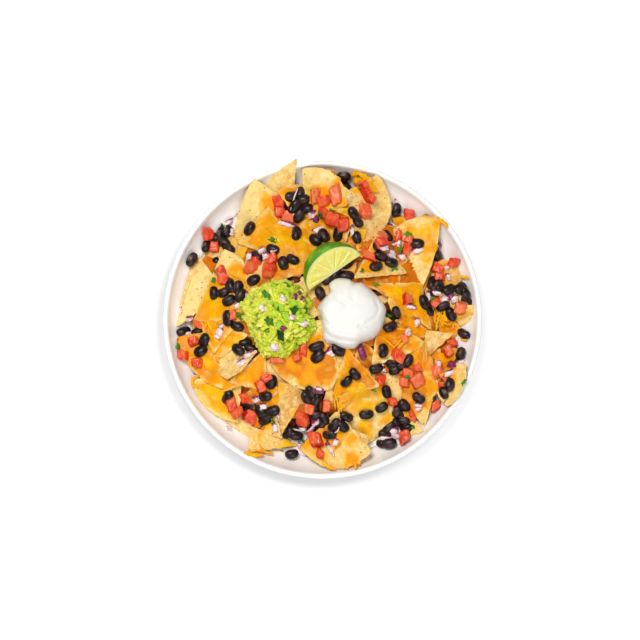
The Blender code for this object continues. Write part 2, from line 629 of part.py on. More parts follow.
def lift_over_plate(piece):
    """How far a piece built at height 0 goes up to lie just clear of the plate."""
    lift = 0.0
    for vert in piece.data.vertices:
        x, y, z = vert.co / MM
        lift = max(lift, float(plate_surface(math.hypot(x, y))) + FACET_CLEARANCE - z)
    return lift


def loose_pieces(grow, prefix=""):
    """The pieces on the bare plate, each just clear of it."""
    made = []
    for k, (name, kind, x, y, length, width, turn) in enumerate(LOOSE):
        tip = along_plate(x, y)
        trial = topping("trial", kind, x, y, length, width, turn, 0.0, random.Random(k), 0.0, tip)
        base = lift_over_plate(trial)
        bpy.data.objects.remove(trial, do_unlink=True)
        draw = random.Random(k)
        made.append(topping(prefix + name, kind, x, y, length, width, turn, base, draw, grow, tip))
    return made


def boolean(target, operation, pieces, name):
    """Joins the pieces to the target, or cuts them from it, with one modifier on their collection."""
    group = bpy.data.collections.new(name)
    for piece in pieces:
        group.objects.link(piece)
    modifier = target.modifiers.new(name, "BOOLEAN")
    modifier.operation = operation
    modifier.solver = "EXACT"
    modifier.operand_type = "COLLECTION"
    modifier.collection = group
    evaluated = target.evaluated_get(bpy.context.evaluated_depsgraph_get())
    mesh = bpy.data.meshes.new_from_object(evaluated)
    target.modifiers.clear()
    target.data = mesh
    for piece in pieces:
        bpy.data.objects.remove(piece, do_unlink=True)
    bpy.data.collections.remove(group)


def signed_volume(faces):
    """Six times the volume inside a set of faces, below zero for a hollow."""
    total = 0.0
    for face in faces:
        first = face.verts[0].co
        for second, third in zip(face.verts[1:], face.verts[2:]):
            total += first.dot(second.co.cross(third.co))
    return total


def keep_main_shell(target):
    """Fills sealed hollows and drops loose scraps, by keeping the largest shell alone."""
    body = bmesh.new()
    body.from_mesh(target.data)
    bmesh.ops.remove_doubles(body, verts=body.verts, dist=1e-6)
    unseen = set(body.faces)
    shells = []
    while unseen:
        shell = set()
        front = [unseen.pop()]
        while front:
            face = front.pop()
            shell.add(face)
            for edge in face.edges:
                for other in edge.link_faces:
                    if other in unseen:
                        unseen.remove(other)
                        front.append(other)
        shells.append(shell)
    shells.sort(key=signed_volume, reverse=True)
    scraps = [face for shell in shells[1:] for face in shell]
    bmesh.ops.delete(body, geom=scraps, context="FACES")
    body.to_mesh(target.data)
    body.free()


def nacho_heap(name):
    """The heap as one solid: the pieces fused, then trimmed clear of the plate and of what stands on it."""
    surface = Surface()
    first, *others = heap_pieces(surface)
    first.name = name
    boolean(first, "UNION", others, "heap_pieces")
    keep_main_shell(first)
    cutters = [plate_cutter("plate_room"), guacamole("guacamole_room", CLEARANCE)]
    cutters += [sour_cream("cream_room", CLEARANCE), lime_wedge("lime_room", LIME_ROOM)]
    cutters += loose_pieces(LOOSE_ROOM, "room_")
    boolean(first, "DIFFERENCE", cutters, "clearances")
    keep_main_shell(first)
    first.data.materials.clear()
    first.data.materials.append(material("nacho_heap"))
    return first


def main():
    """Builds every piece of the dish."""
    clear_scene()
    plate("plate")
    nacho_heap("nacho_heap")
    guacamole("guacamole")
    sour_cream("sour_cream")
    lime_wedge("lime_wedge")
    loose_pieces(0.0)


main()
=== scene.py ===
"""The looks of a plate of loaded nachos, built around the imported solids.

The heap is laid again here chip by chip, by the same rule and from the same places as its solid, so
that every chip, bean and die lies where the solid has it. Sizes and places are in millimetres, and MM
turns them into metres.
"""
import math
import random

import bmesh
import bpy
import numpy as np
from mathutils import Euler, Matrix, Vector, noise


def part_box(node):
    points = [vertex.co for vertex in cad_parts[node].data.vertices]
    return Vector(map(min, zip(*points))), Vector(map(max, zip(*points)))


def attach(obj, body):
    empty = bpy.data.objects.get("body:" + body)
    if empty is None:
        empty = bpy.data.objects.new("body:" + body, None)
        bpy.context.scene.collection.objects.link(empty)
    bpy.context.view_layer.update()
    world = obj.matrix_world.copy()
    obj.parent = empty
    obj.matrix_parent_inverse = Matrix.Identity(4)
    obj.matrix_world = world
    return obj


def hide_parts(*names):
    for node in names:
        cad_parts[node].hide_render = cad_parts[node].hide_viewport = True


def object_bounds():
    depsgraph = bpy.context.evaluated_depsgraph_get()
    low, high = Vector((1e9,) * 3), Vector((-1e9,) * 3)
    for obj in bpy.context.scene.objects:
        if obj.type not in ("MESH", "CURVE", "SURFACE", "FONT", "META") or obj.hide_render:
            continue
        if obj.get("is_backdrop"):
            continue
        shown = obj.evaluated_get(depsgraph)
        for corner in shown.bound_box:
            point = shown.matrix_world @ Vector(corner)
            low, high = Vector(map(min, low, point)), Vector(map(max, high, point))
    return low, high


MM = 0.001

# The plate, and the dome in the middle of the heap
PLATE_RADIUS = 135.0
PLATE_HEIGHT = 22.0
PLATE_FLOOR = 6.0
LIP_WIDTH = 4.2
LIP_CROWN = PLATE_RADIUS - 2.6
ROOM_OUTWARD = 10.0
PLATE_GAP = 0.2
PLATE_SEGMENTS = 192
PLATE_INSIDE = (
    (0.0, PLATE_FLOOR),
    (106.0, PLATE_FLOOR),
    (117.0, PLATE_FLOOR + 1.2),
    (124.0, PLATE_FLOOR + 4.6),
    (128.4, PLATE_FLOOR + 9.6),
    (PLATE_RADIUS - LIP_WIDTH, PLATE_HEIGHT - 1.2),
)
PLATE_OUTSIDE = ((132.6, 15.5), (127.0, 8.6), (118.0, 4.2), (106.0, 2.2), (74.5, 2.2))
PLATE_FOOT = ((73.0, 1.4), (72.0, 0.3), (71.2, 0.0), (66.0, 0.0), (65.2, 0.3), (64.0, 1.6), (62.0, 2.2))
CORE_RADIUS = 101.0
CORE_HEIGHT = 32.0
CORE_FALL = 0.75

# How the heap is laid
CLEARANCE = 0.35
CHIP_THICKNESS = 2.0
CHIP_SINK = 0.7
DEEP_SINK = 1.0
STRONG_BOW = 7.0
STEEPEST_CHIP = 0.5
CELL = 2.0
GRID_REACH = 136.0
TOPPING_SINK = 1.1
ONION_SINK = 0.3
NESTLE = 0.55

# The toppings
BEAN = (12.4, 8.4, 7.2)
BEAN_SIDES = 24
BEAN_ROWS = 15
TUBE_SIDES = 8
TOMATO_HEIGHT = 7.5
ONION_HEIGHT = 3.2
GUACAMOLE_BASE = 27.0
GUACAMOLE_HEIGHT = 36.0
# The noise that shapes the crumbs starts from the clock, and differs from run to run, unless it has a seed
GUACAMOLE_SEED = 17
CREAM_BASE = 29.0
CREAM_HEIGHT = 29.0
LIME_RADIUS = 26.0
LIME_HALF_LENGTH = 26.5
LIME_AXIS_HEIGHT = 42.0
LIME_FACE_RISE = math.radians(48.0)
LIME_WEDGE_ANGLE = math.radians(64.0)
LIME_TIPS = ((-11.0, 22.3), (31.4, 51.6))

GUACAMOLE_OUTLINE = (
    (-45, 31), (-35.5, 31.6), (-26, 30), (-15, 21), (-8, 12.5), (-10, 6), (-5, -5), (-8, -19),
    (-18.6, -27), (-30, -36), (-41, -35.6), (-52.5, -30), (-59, -16), (-65.6, -2), (-69.4, 7.5),
    (-62.5, 20), (-54, 27),
)
# The same outline as the solid's, with its smaller lobes
CREAM_OUTLINE = (
    (4.8, 27.4), (8.5, 31.6), (14.5, 33.4), (22.3, 32.5), (26.9, 29.5), (33.3, 29.3), (37.4, 26.1),
    (43.8, 20.6), (50.2, 13.7), (53.7, 6.8), (52.8, -0.1), (50.2, -9.3), (43.8, -17.0), (40.1, -18.9),
    (31.9, -22.1), (27.3, -26.2), (20.9, -27.4), (14.5, -26.2), (9.0, -23.5), (2.5, -22.1),
    (-0.4, -18.4), (-0.7, -13.8), (-1.3, -6.5), (-2.5, 0.8), (-4.8, 5.9), (-4.3, 9.1), (-0.2, 15.1),
    (5.3, 21.5),
)
# Creases left by the spoon: how deep, how wide, and the path
CREAM_CREASES = (
    (1.6, 1.4, ((1.6, -12.0), (5.0, -16.6), (12.0, -19.6), (20.0, -20.8), (27.3, -21.4))),
    (1.5, 1.6, ((31.0, -9.5), (36.0, -13.8), (41.0, -17.5))),
    (1.4, 1.3, ((-2.4, 4.0), (-0.4, -1.6), (3.0, -5.5))),
    (0.9, 2.0, ((26.0, 29.0), (24.0, 22.0), (25.0, 14.0))),
    (1.2, 1.5, ((44.0, 14.0), (47.0, 6.0), (44.0, -2.0), (37.0, -6.0))),
    (1.0, 1.8, ((8.0, 22.0), (12.0, 14.0), (20.0, 9.0))),
)

# How brown a chip fried, from 0 to 1, where that can be seen
CHIP_TONES = {
    "nw_tall": 0.05, "north": 0.2, "ne_round": 0.45, "north_tip": 0.45, "w_tall": 0.15, "s_fold": 1.3,
    "e_triangle": 0.9, "w_curl": 0.3, "sw_big": 0.3, "south": 0.5, "south_west": 0.5, "ne_tip": 0.35,
    "se_tip": 0.4, "ne_long": 0.3, "w_big": 0.3, "s_right": 0.2, "shelf_s": 0.5, "se_right": 0.5,
}

# How far the edges of a chip curl up, or down where it is negative, and the direction across the curl in
# degrees
CHIP_CURLS = {
    "w_tall": (-5.0, -18), "nw_tall": (-2.5, 40), "ne_round": (4.5, 35), "shelf_s": (4.5, 80),
    "s_fold": (-6.0, 5), "north_tip": (-2.5, 10), "north": (-2.0, 20), "e_triangle": (3.0, 60),
    "w_curl": (5.0, 120), "ne_long": (-3.0, 20),
    "s_shelf": (-3.0, 60), "sw_big": (4.0, 45), "south": (3.0, 90), "w_big": (-3.0, 15), "e_big": (-3.0, 30),
    "nw_big": (-2.5, 60), "s_right": (-3.0, 45), "se_right": (3.5, 150), "west_low": (2.0, 40),
}

# Every chip in the order it was laid: its corners, how far an edge bows out, and how far corners are raised
CHIPS = (
    ("sw_under", ((-93, -79), (-61, -101), (-58, -75)), {}, {}),
    ("se_under", ((86, -95), (73, -99), (70, -72)), {}, {}),
    ("nw_back", ((-49, 115), (-40, 125), (-25, 95)), {}, {}),
    ("w_back", ((-110, 52), (-122, 10), (-90, 30)), {}, {}),
    ("ne_back", ((58, 88), (100, 87), (80, 60)), {}, {}),
    ("sw_big", ((-112, -50), (-71, -88), (-68, -48)), {0: 9}, {}),
    ("se_right", ((121, -38), (105, -75), (78, -38)), {0: 6}, {}),
    ("ne_round", ((47, 123), (36, 64), (12, 100)), {0: 17}, {}),
    ("north_tip", ((-21.5, 136.5), (-42, 123.5), (-27, 88)), {}, {}),
    ("east_mid", ((128, 12), (115, -6), (92, 12)), {0: 5}, {}),
    ("east_top", ((95, 51), (118, 32), (88, 18)), {0: 9}, {}),
    ("south", ((-19, -109), (42, -112), (12, -78)), {0: 16}, {}),
    ("south_west", ((-61, -90), (-63, -113), (-20, -106)), {}, {0: 2.5, 1: 1.5}),
    ("west_low", ((-122, -14), (-76, -61), (-78, -8)), {0: 12}, {}),
    ("nw_tall", ((-58, 120), (-76, 65), (-28, 101)), {0: 4}, {}),
    ("w_tall", ((-105, 55), (-125, -7), (-82, 22)), {}, {}),
    ("ne_long", ((59, 76), (100, 85), (85, 27)), {0: 6, 1: 3}, {}),
    ("shelf_s", ((26, 32), (72, 38), (46, 72)), {}, {0: 3, 1: 4}),
    ("e_under", ((60, 14), (93, -13), (68, -22)), {}, {}),
    ("e_cream", ((88, -21), (41, -40), (48, 4)), {0: 3}, {}),
    ("se_tip", ((86.5, -91.5), (63, -64), (98, -50)), {}, {}),
    ("s_right", ((12, -75), (34, -42), (67.5, -48.5), (37.5, -106)), {2: 10}, {}),
    ("s_centre", ((20, -26), (49, -58), (8, -68)), {}, {}),
    ("s_inner", ((0, -88), (25, -92), (9, -112)), {}, {}),
    ("s_leaf", ((22, -92), (36, -110), (40, -100)), {}, {}),
    ("s_fold", ((-37, -55), (-10, -58), (-37, -101)), {}, {0: 5, 1: -2}),
    ("s_flap", ((-50, -96), (-34, -101), (-40, -78)), {}, {}),
    ("s_shelf", ((-46, -36), (8, -60), (15, -46), (2, -5)), {0: 11}, {}),
    ("sw_inner", ((-80, -54), (-48, -26), (-46, -62)), {}, {}),
    ("w_curl", ((-54, -28), (-80, -20), (-88, -38), (-86, -48), (-80, -52), (-69, -46)), {}, {0: 5}),
    ("w_tip", ((-97, -32), (-80, -8), (-62, -14), (-84, -33)), {}, {}),
    ("w_big", ((-83.5, 61), (-110.5, -1), (-66, -3), (-58, 16), (-67, 51)), {}, {}),
    ("nw_big", ((-73, 65), (-46, 98), (-14, 42)), {}, {}),
    ("n_inner", ((-12, 80), (10, 60), (5, 92)), {}, {}),
    ("ne_tip", ((38.5, 99.7), (12, 114), (14, 88)), {}, {}),
    ("north", ((-17.5, 128.5), (21, 95), (-16, 86)), {0: 13}, {1: -2.5, 2: -4.5}),
    ("n_yellow", ((27, 83), (22, 92), (8, 91)), {}, {}),
    ("n_bean", ((38, 75), (26, 79), (30, 55)), {}, {}),
    ("e_big", ((42, 29), (84, 31), (93, -11)), {}, {}),
    ("lime_under", ((13, 40), (29, 47), (26, 35.5)), {}, {}),
    ("e_triangle", ((87.5, -10), (111, -12), (84, -37)), {}, {}),
)

# Chips deep in the heap, which show in the gaps between the others: the chip that each lies under, its name
# and its corners. They are laid like the rest, but nothing is laid on them.
DEEP_CHIPS = (
    ("nw_big", "n_deep", ((-50, 86), (-42, 30), (6, 44))),
    ("nw_big", "n_wide", ((-16, 88), (-14, 46), (38, 66))),
    ("nw_tall", "n_gap", ((-38, 108), (-3, 112), (-16, 78))),
    ("ne_tip", "n_fill", ((-2, 93), (27, 89), (20, 64))),
    ("e_cream", "e_deep", ((72, -14), (96, -46), (60, -52))),
    ("w_big", "w_deep", ((-108, 4), (-68, 0), (-92, -30))),
    ("sw_inner", "sw_deep", ((-84, -28), (-46, -48), (-84, -62))),
    ("s_fold", "s_wide", ((-64, -52), (-30, -66), (-52, -92))),
    ("nw_tall", "nw_gap", ((-101, 57), (-58, 74), (-74, 38))),
    ("e_triangle", "e_gap", ((97, -6), (117, -8), (101, -30))),
    ("se_tip", "se_gap", ((90, -30), (117, -27), (100, -50))),
    ("east_top", "e_low", ((86, 26), (124, 22), (100, -16))),
    ("s_right", "se_deep", ((60, -52), (100, -58), (72, -90))),
)

# Melted cheese on a chip: how orange it is from 0 to 1, the width of the bare rim, and the pools that it
# covers as (x, y, reach across, reach up, turn in degrees). With no pool it covers the chip up to the rim.
# The deep orange tones of e_cream, s_centre, s_shelf and sw_inner are partly the cheese's own colour, partly
# painted shade where those chips lie in shadow
CHEESE = {
    "w_back": (0.15, 0.0, ((-103, 52, 9, 5, 20), (-96, 44, 8, 5, 0))),
    "ne_back": (0.5, 1.0, ()),
    "sw_big": (0.25, 4.0, ()),
    "se_right": (0.55, 1.0, ((92, -42, 20, 9, 0), (103, -47, 14, 12, -40), (88, -38, 12, 6, 0))),
    "ne_round": (0.3, 0.0, ((27, 122, 9, 6, 0), (38, 116, 9, 5, -30), (24, 110, 9, 8, 0),
                            (43, 108, 4, 4, 0))),
    "east_mid": (0.5, 0.0, ((107, 6, 10, 5, -10), (120, 7, 4, 3, 0))),
    "east_top": (0.5, 2.0, ((100, 40, 8, 14, 20), (110, 42, 5, 4, 0))),
    "south": (0.55, 0.0, ((2, -100, 18, 12, 0), (24, -120, 8, 10, 20), (-6, -112, 12, 5, -30),
                          (25, -103, 7, 6, 0))),
    "south_west": (0.4, 0.0, ((-29, -105, 10, 6, 10), (-52, -97, 4, 5, 0), (-58, -113, 8, 3, -10))),
    "west_low": (0.6, 0.5, ()),
    "nw_tall": (0.4, 0.0, ((-44, 96, 9, 12, 20), (-66, 69, 7, 6, 0))),
    "ne_long": (0.4, 0.0, ((88, 66, 9, 18, 15), (76, 76, 12, 5, -25), (98, 80, 6, 8, 0), (90, 52, 7, 6, 0))),
    "shelf_s": (0.6, 2.0, ((42, 48, 13, 12, 0), (56, 62, 14, 8, -40))),
    "e_under": (0.8, 1.0, ()),
    "e_cream": (0.9, 1.5, ((58, -18, 24, 15, 15), (74, -24, 10, 7, 30))),
    "se_tip": (0.5, 1.0, ((80, -60, 14, 13, 0), (88, -72, 5, 8, 0))),
    "s_right": (0.1, 1.0, ((26, -66, 16, 7, 10), (46, -60, 12, 8, 0), (38, -73, 22, 7, 0),
                           (36, -92, 9, 8, 30), (55, -85, 8, 5, 30), (18, -77, 7, 7, 0))),
    "s_centre": (0.8, 0.5, ()),
    "s_inner": (0.6, 0.0, ()),
    "s_fold": (0.2, 0.0, ((-25, -84, 3, 9, -20), (-35, -60, 3, 8, 10))),
    "s_flap": (0.2, 0.0, ((-45, -90, 6, 5, 0),)),
    "s_shelf": (0.8, 3.5, ()),
    "sw_inner": (0.6, 2.5, ()),
    "w_tip": (0.35, 1.5, ((-78, -17, 15, 9, 30), (-88, -26, 8, 6, 40))),
    "w_big": (0.35, 2.0, ((-80, 14, 32, 24, 20), (-68, 38, 13, 12, -40), (-98, 4, 14, 12, 40))),
    "nw_big": (0.45, 2.5, ()),
    "n_inner": (0.7, 0.5, ()),
    "north": (0.4, 0.5, ((4, 100, 22, 12, -25), (14, 110, 9, 7, -30), (-14, 96, 8, 12, 0))),
    "n_yellow": (0.05, 0.0, ()),
    "n_bean": (0.3, 0.5, ((31, 68, 7, 12, 0),)),
    "e_big": (0.45, 1.5, ()),
    "lime_under": (0.6, 1.0, ((24, 41, 7, 4, 0),)),
    "n_deep": (0.7, 0.0, ()),
    "n_wide": (0.7, 0.5, ()),
    "n_gap": (0.5, 0.0, ()),
    "n_fill": (0.8, 0.0, ()),
    "e_deep": (0.7, 0.0, ()),
    "w_deep": (0.5, 0.0, ()),
    "sw_deep": (0.7, 0.0, ()),
    "s_wide": (0.8, 0.0, ()),
    "nw_gap": (0.1, 0.0, ((-66, 56, 14, 8, 30), (-80, 62, 7, 5, 0))),
    "e_gap": (0.7, 0.0, ()),
    "se_gap": (0.7, 0.0, ()),
    "e_low": (0.6, 0.0, ((104, 0, 14, 10, 0), (96, 16, 8, 6, 0))),
    "se_deep": (0.8, 0.0, ()),
}

# Cheese that ran over the edges of several chips: how orange it is, and its outline
MELTS = (
    (0.4, ((-45, 95), (-37, 96), (-28, 88), (-14, 75), (-10, 58), (-13, 44), (-24, 37), (-38, 36), (-49, 42),
           (-54, 56), (-52, 76))),
    (0.4, ((30, 124), (36, 121), (43, 118), (46, 112), (40, 108), (33, 109), (30, 116))),
    (0.5, ((-16, 86), (0, 82), (8, 72), (4, 60), (-10, 58), (-18, 70))),
    (0.5, ((58, 22), (78, 24), (84, 8), (76, -4), (62, 2), (54, 12))),
    (0.4, ((-112, -20), (-98, -26), (-84, -42), (-92, -52), (-104, -44), (-114, -32))),
    (0.45, ((78, -46), (94, -46), (96, -60), (88, -74), (76, -66))),
    (0.5, ((18, -36), (34, -44), (44, -54), (36, -62), (18, -60), (10, -48))),
    (0.15, ((12, -62), (22, -58), (36, -54), (46, -58), (40, -68), (28, -72), (14, -74))),
)

# Strings and drips of cheese as lists of (x, y), each with its width
STRANDS = (
    (2.4, ((97, 5), (106, 1), (115, -5), (119, -11), (122, -18), (117, -16))),
    (2.0, ((100, 11), (108, 3), (116, 2), (126, 6))),
    (2.6, ((117, 37), (124, 35))),
    (3.4, ((98, 85), (104, 81), (106, 77))),
    (2.2, ((-101, 1), (-98, -3), (-99.5, -8))),
    (2.8, ((-98, 0), (-96, -5), (-93.5, -10))),
    (2.6, ((-69.5, 8), (-76, 7.5), (-81.5, 4.5), (-84.5, -2.5), (-88, -6), (-92, -8))),
    (2.0, ((-80, 38), (-74, 37), (-68, 32), (-64, 26))),
    (4.0, ((24, 123), (30, 125), (36, 121), (43, 117))),
    (3.6, ((25, 117), (31, 120), (38, 115), (45, 110))),
    (3.2, ((29, 127), (28, 120), (31, 112))),
    (3.6, ((37, 124), (36, 117), (41, 109), (47, 108))),
    (2.6, ((4, 127), (9, 124), (14, 124))),
    (3.6, ((-66, -113), (-58, -115), (-50, -115))),
    (2.4, ((-104, -48), (-110, -50), (-110, -56), (-105, -58))),
    (3.0, ((27, -120), (28, -127))),
    (3.0, ((0, -121), (5, -125), (11, -127))),
    (1.4, ((12, -62), (10, -70), (11, -77))),
    (1.4, ((14, -77), (19, -74), (24, -68))),
    (1.6, ((84, -38), (88, -35), (88, -30), (86, -22))),
    (1.6, ((48, -16), (56, -21), (62, -27), (66, -31))),
    (2.2, ((62, -9), (68, -10), (76, -10))),
)
# Patches of shreds that kept their shape: (x, y, reach across, reach up, how many)
SHRED_PATCHES = (
    (103, 0, 12, 5, 9), (-94, -9, 8, 5, 4), (14, -72, 3, 7, 3), (60, -22, 9, 5, 3),
    (-54, -113, 8, 2, 3),
)
ONION_SLIVERS = (
    (1.2, ((-21, 111), (-24, 103), (-27, 92))),
    (0.9, ((-42, -66), (-40, -64), (-38, -62))),
    (1.0, ((14, -92), (13, -95), (8, -98))),
)

# Black beans as (x, y, turn in degrees)
BEANS = (
    (-87, 74, 70), (-81, 76, 60), (-84, 66, 150), (-80, 61, -40), (-62, 77, 50), (-92, 49, 30),
    (-56, 52, -30), (20, 114, -60), (-19, 107, 80), (-17, 102, -5), (-30, 97, 80), (-24, 95, 60),
    (-14, 94, -5), (-20, 88, 60), (-22, 72, 85), (-6, 66, -45), (1, 70, -65), (13, 71, 80),
    (29, 68, -80), (26, 88, -50), (30, 81, -45), (-42, 58, -20), (-33, 46, -80), (-25, 49, -30),
    (55, 71, -60), (80, 64, -5), (98, 55, -50), (49, 52, -15), (58, 47, -5), (45, 43, 25),
    (-92, 22, 90), (-84, 22, 20), (-78, 28, -70), (-71, 26, 80), (-79, 15, 30), (-69, 19, 60),
    (-58, 32, 20), (-80, 0, 90), (-72, -7, -20), (-118, -10, 20), (-106, -10, 30), (-100, -18, 60),
    (-103, -27, 30), (-65, -21, 5), (-71, -27, -35), (-60, -26, -20), (-2, 20, -70), (5, 32, 40),
    (11, 36, 45), (20, 35, 0), (21, 46, 45), (-5, -25, 20), (-4, -33, 45), (13, -28, -30),
    (27, -48, -50), (45, -43, 15), (62, 4, -75), (57, -8, 25), (51, -28, 90), (72, -36, 60),
    (93, 31, 80), (99, 28, 80), (107, 25, 30), (117, 26, 50), (121, 22, -50), (122, 16, -50),
    (102, 11, 25), (109, 4, -65), (90, 8, -65), (120, -12, -30), (59, -39, -10), (61, -44, 30),
    (-80, -66, 60), (-48, -66, 15), (-62, -74, 15), (-52, -78, -30), (-42, -78, 20), (-49, -85, 20),
    (-53, -90, 20), (-43, -54, 75), (-10, -63, -60), (-13, -68, -60), (-5, -69, 70), (-6, -82, 20),
    (1, -84, -60), (-2, -88, -50), (10, -90, 50), (17, -91, -40), (20, -83, -20), (6, -98, 10),
    (37, -81, 5), (20, -54, 40), (-29, -96, 55), (-23, -98, -15), (54, -62, -75), (50, -75, 35),
    (81, -67, -35), (102, -63, -60), (107, -56, 85), (69, -73, -50), (66, -81, -40), (68, -86, 0),
    (71, -92, 10), (51, -105, -5), (53, -97, 0),
)

# Beans deep in the gaps, which the solid leaves out
DEEP_BEANS = (
    (62, -86, -60), (57, -91, 40), (63, -78, 70), (96, 24, 40), (86, 14, -70), (-8, -76, 30),
    (-46, -82, 60), (66, -40, 20), (-26, 104, 10), (-90, 70, -20), (48, 62, 30),
)

# Diced tomato as (x, y, length, width, turn in degrees)
TOMATOES = (
    (-92, 63, 8, 8, 10), (-60, 44, 11, 14, 160), (-43, 49, 10, 9, 20), (-45, 40, 10, 11, 0),
    (-37, 100, 11, 11, 10), (-36, 91, 9, 8, 0), (-28, 87, 11, 9, -20), (-6, 104, 8, 12, 5),
    (1, 99, 10, 8, 10), (11, 104, 9, 13, 5), (1, 90, 9, 8, -30), (8, 84, 11, 11, -20),
    (17, 79, 9, 9, 10), (33, 112, 12, 6, -10), (38, 105, 6, 14, 35), (36, 91, 9, 10, 0),
    (42, 101, 7, 6, -20), (65, 71, 6, 8, 20), (73, 68, 9, 6, 0), (72, 61, 9, 10, 5), (51, 70, 12, 8, 0),
    (50, 63, 10, 8, 10), (98, 43, 9, 9, -20), (99, 36, 8, 7, 0), (39, 52, 13, 7, -25),
    (-86, 39, 8, 8, 10), (-84, 33, 9, 8, -20), (-76, 2, 6, 7, 10), (-105, -4, 9, 6, -20),
    (-109, -19, 8, 6, 20), (-106, -37, 9, 7, 0), (-16, -27, 6, 9, 0), (-38, -36, 12, 5, 0),
    (-21, -34, 7, 6, 30), (72, 16, 9, 9, 0), (117, 10, 10, 9, 0), (96, 14, 8, 6, 30),
    (64, -32, 12, 9, -25), (69, -17, 5, 6, 0), (110, -20, 8, 8, 10), (106, -27, 8, 8, 30),
    (80, -42, 7, 7, 15), (97, -44, 10, 8, 25), (72, -46, 10, 8, -20), (-52, -57, 9, 9, 25),
    (-65, -67, 9, 9, 20), (-77, -72, 8, 10, 25), (-72, -79, 9, 7, 30), (-61, -82, 12, 10, -30),
    (-47, -51, 9, 6, 25), (-11, -76, 10, 8, -25), (-17, -85, 11, 9, 10), (3, -74, 7, 9, 10),
    (-6, -102, 11, 12, 5), (-2, -114, 7, 8, -20), (49, -52, 9, 9, 10), (59, -70, 7, 7, 10),
    (80, -52, 11, 11, 20), (69, -54, 9, 8, -10), (102, -53, 7, 9, -20), (96, -73, 9, 8, 15),
    (76, -81, 4, 8, 20),
)

# The larger pieces of onion as (x, y, length, width, turn in degrees)
ONIONS = (
    (-80, 84, 7, 4, 20), (-78, 76, 5, 7, 0), (-51, 57, 7, 5, 30), (-48, 52, 6, 5, 0),
    (-62, 52, 5, 6, 0), (-30, 80, 14, 4, -15), (-9, 89, 9, 6, 10), (-3, 75, 10, 6, 30),
    (25, 74, 4, 9, 10), (61, 64, 6, 6, 20), (65, 65, 4, 7, 0), (52, 59, 8, 4, 10), (58, 54, 7, 8, -20),
    (67, 52, 8, 7, 10), (81, 59, 9, 5, 30), (107, 36, 4, 7, 10), (90, 20, 4, 9, 10), (97, 22, 7, 4, 0),
    (104, 17, 5, 8, -50), (108, 21, 6, 6, 20), (112, 17, 6, 7, 10), (75, 10, 10, 4, -10),
    (80, -3, 5, 7, 0), (72, -12, 4, 9, 0), (118, -37, 6, 5, 0), (109, -39, 6, 6, 20),
    (107, -46, 9, 5, 20), (7, -29, 8, 6, 40), (33, -29, 6, 9, 20), (-87, -12, 6, 10, -20),
    (-72, 10, 6, 5, 20), (-62, -31, 7, 5, 10), (-68, -38, 7, 5, 20), (-56, -68, 6, 6, 20),
    (-50, -74, 7, 5, 0), (-40, -92, 5, 8, 10), (-3, -62, 9, 5, 0), (-17, -92, 7, 4, 0),
    (-6, -87, 8, 4, 30), (-10, -94, 10, 3, 40), (-19, -107, 4, 6, 0), (6, -109, 4, 12, 30),
    (11, -104, 5, 7, -20), (81, -73, 7, 5, 0), (60, -95, 8, 9, 0),
)
# Small pieces of onion that the solid leaves out
ONION_BITS = (
    (-41, 56, 6, 3, 35), (-6, 85, 6, 4, 0), (63, 101, 3, 5, 0), (58, 80, 5, 4, 0), (106, 45, 4, 5, 10),
    (-65, 19, 4, 6, 0), (-113, 1, 5, 4, 0), (-114, -12, 5, 3, 20), (50, -40, 3, 4, 0),
    (51, -44, 5, 3, 0), (-85, -6, 5, 4, 30), (-108, -48, 4, 4, 0), (-79, -92, 4, 3, 0),
    (-37, -82, 2, 8, 0), (54, -101, 12, 4, -5), (63, -99, 4, 4, 0), (81, -76, 6, 3, 10),
    (-3, -60, 6, 3, -10), (98, -38, 4, 4, 0), (-70, -36, 4, 3, 0),
)
# Lumps of greener avocado in the guacamole, as (x, y, length, width)
GREEN_LUMPS = (
    (-36, 6, 9, 7), (-30, -2, 8, 6), (-22, 2, 9, 7), (-35, -9, 7, 6), (-24, 10, 8, 5), (-41, 24, 7, 5),
    (-30, 19, 7, 5), (-18, -4, 7, 5),
)
# Onion in the guacamole as (x, y, length, width), and leaves as (x, y, size, how dark)
WHITE_BITS = ((-40, -26, 6, 7), (-16, -7, 8, 5), (-25, -2, 5, 4), (-50, 6, 4, 5), (-33, 14, 5, 4))
PURPLE_BITS = ((-33, -11, 5, 4), (-23, 16, 6, 4), (-17, 14, 5, 4), (-20, 20, 4, 3))
GUACAMOLE_LEAVES = (
    (-35, -18, 5.5, 1.0), (-24, 4, 5.0, 0.7), (-44, -5, 5.0, 0.4), (-37, 5, 3.0, 0.5), (-47, 17, 6.0, 0.1),
    (-30, 26, 4.0, 0.3), (-14, 4, 3.0, 0.6),
)
# Coriander leaves on the heap as (x, y)
CILANTRO = (
    (-100, 73), (-86, 80), (-41, 66), (-53, 50), (-8, 107), (8, 92), (31, 111), (-2, 87), (72, 72),
    (66, 59), (33, 39), (41, 52), (60, 41), (45, 28), (94, 17), (93, 9), (64, -17), (56, 2), (103, 5),
    (-91, 40), (-92, 33), (-87, 38), (-75, 13), (-71, 3), (-69, 1), (-123, -23), (-43, -86),
    (-16, -103), (43, -61), (72, -50), (101, -54), (119, -54), (76, -91), (73, -99), (-84, 78),
    (-82, 71), (-60, 47), (0, -88), (-44, 67),
)

# Pieces on the bare plate: node name, turn in degrees, and a block's length and width
LOOSE = {
    "bean_north": (0, 0, 0), "bean_south": (10, 0, 0), "bean_east": (65, 0, 0), "bean_west": (60, 0, 0),
    "bean_northwest": (75, 0, 0), "bean_northeast": (75, 0, 0), "bean_southeast": (5, 0, 0),
    "tomato_northwest": (-10, 8, 10), "tomato_north": (5, 9, 8), "tomato_northeast": (-20, 8, 8),
    "tomato_west": (10, 6, 8), "tomato_southeast": (20, 10, 11), "onion_northeast": (10, 5, 4),
}
LOOSE_REACH = 4.0

# Deep chips and filler chips bow out along their first edge
SMALL_BOW = {0: 5}
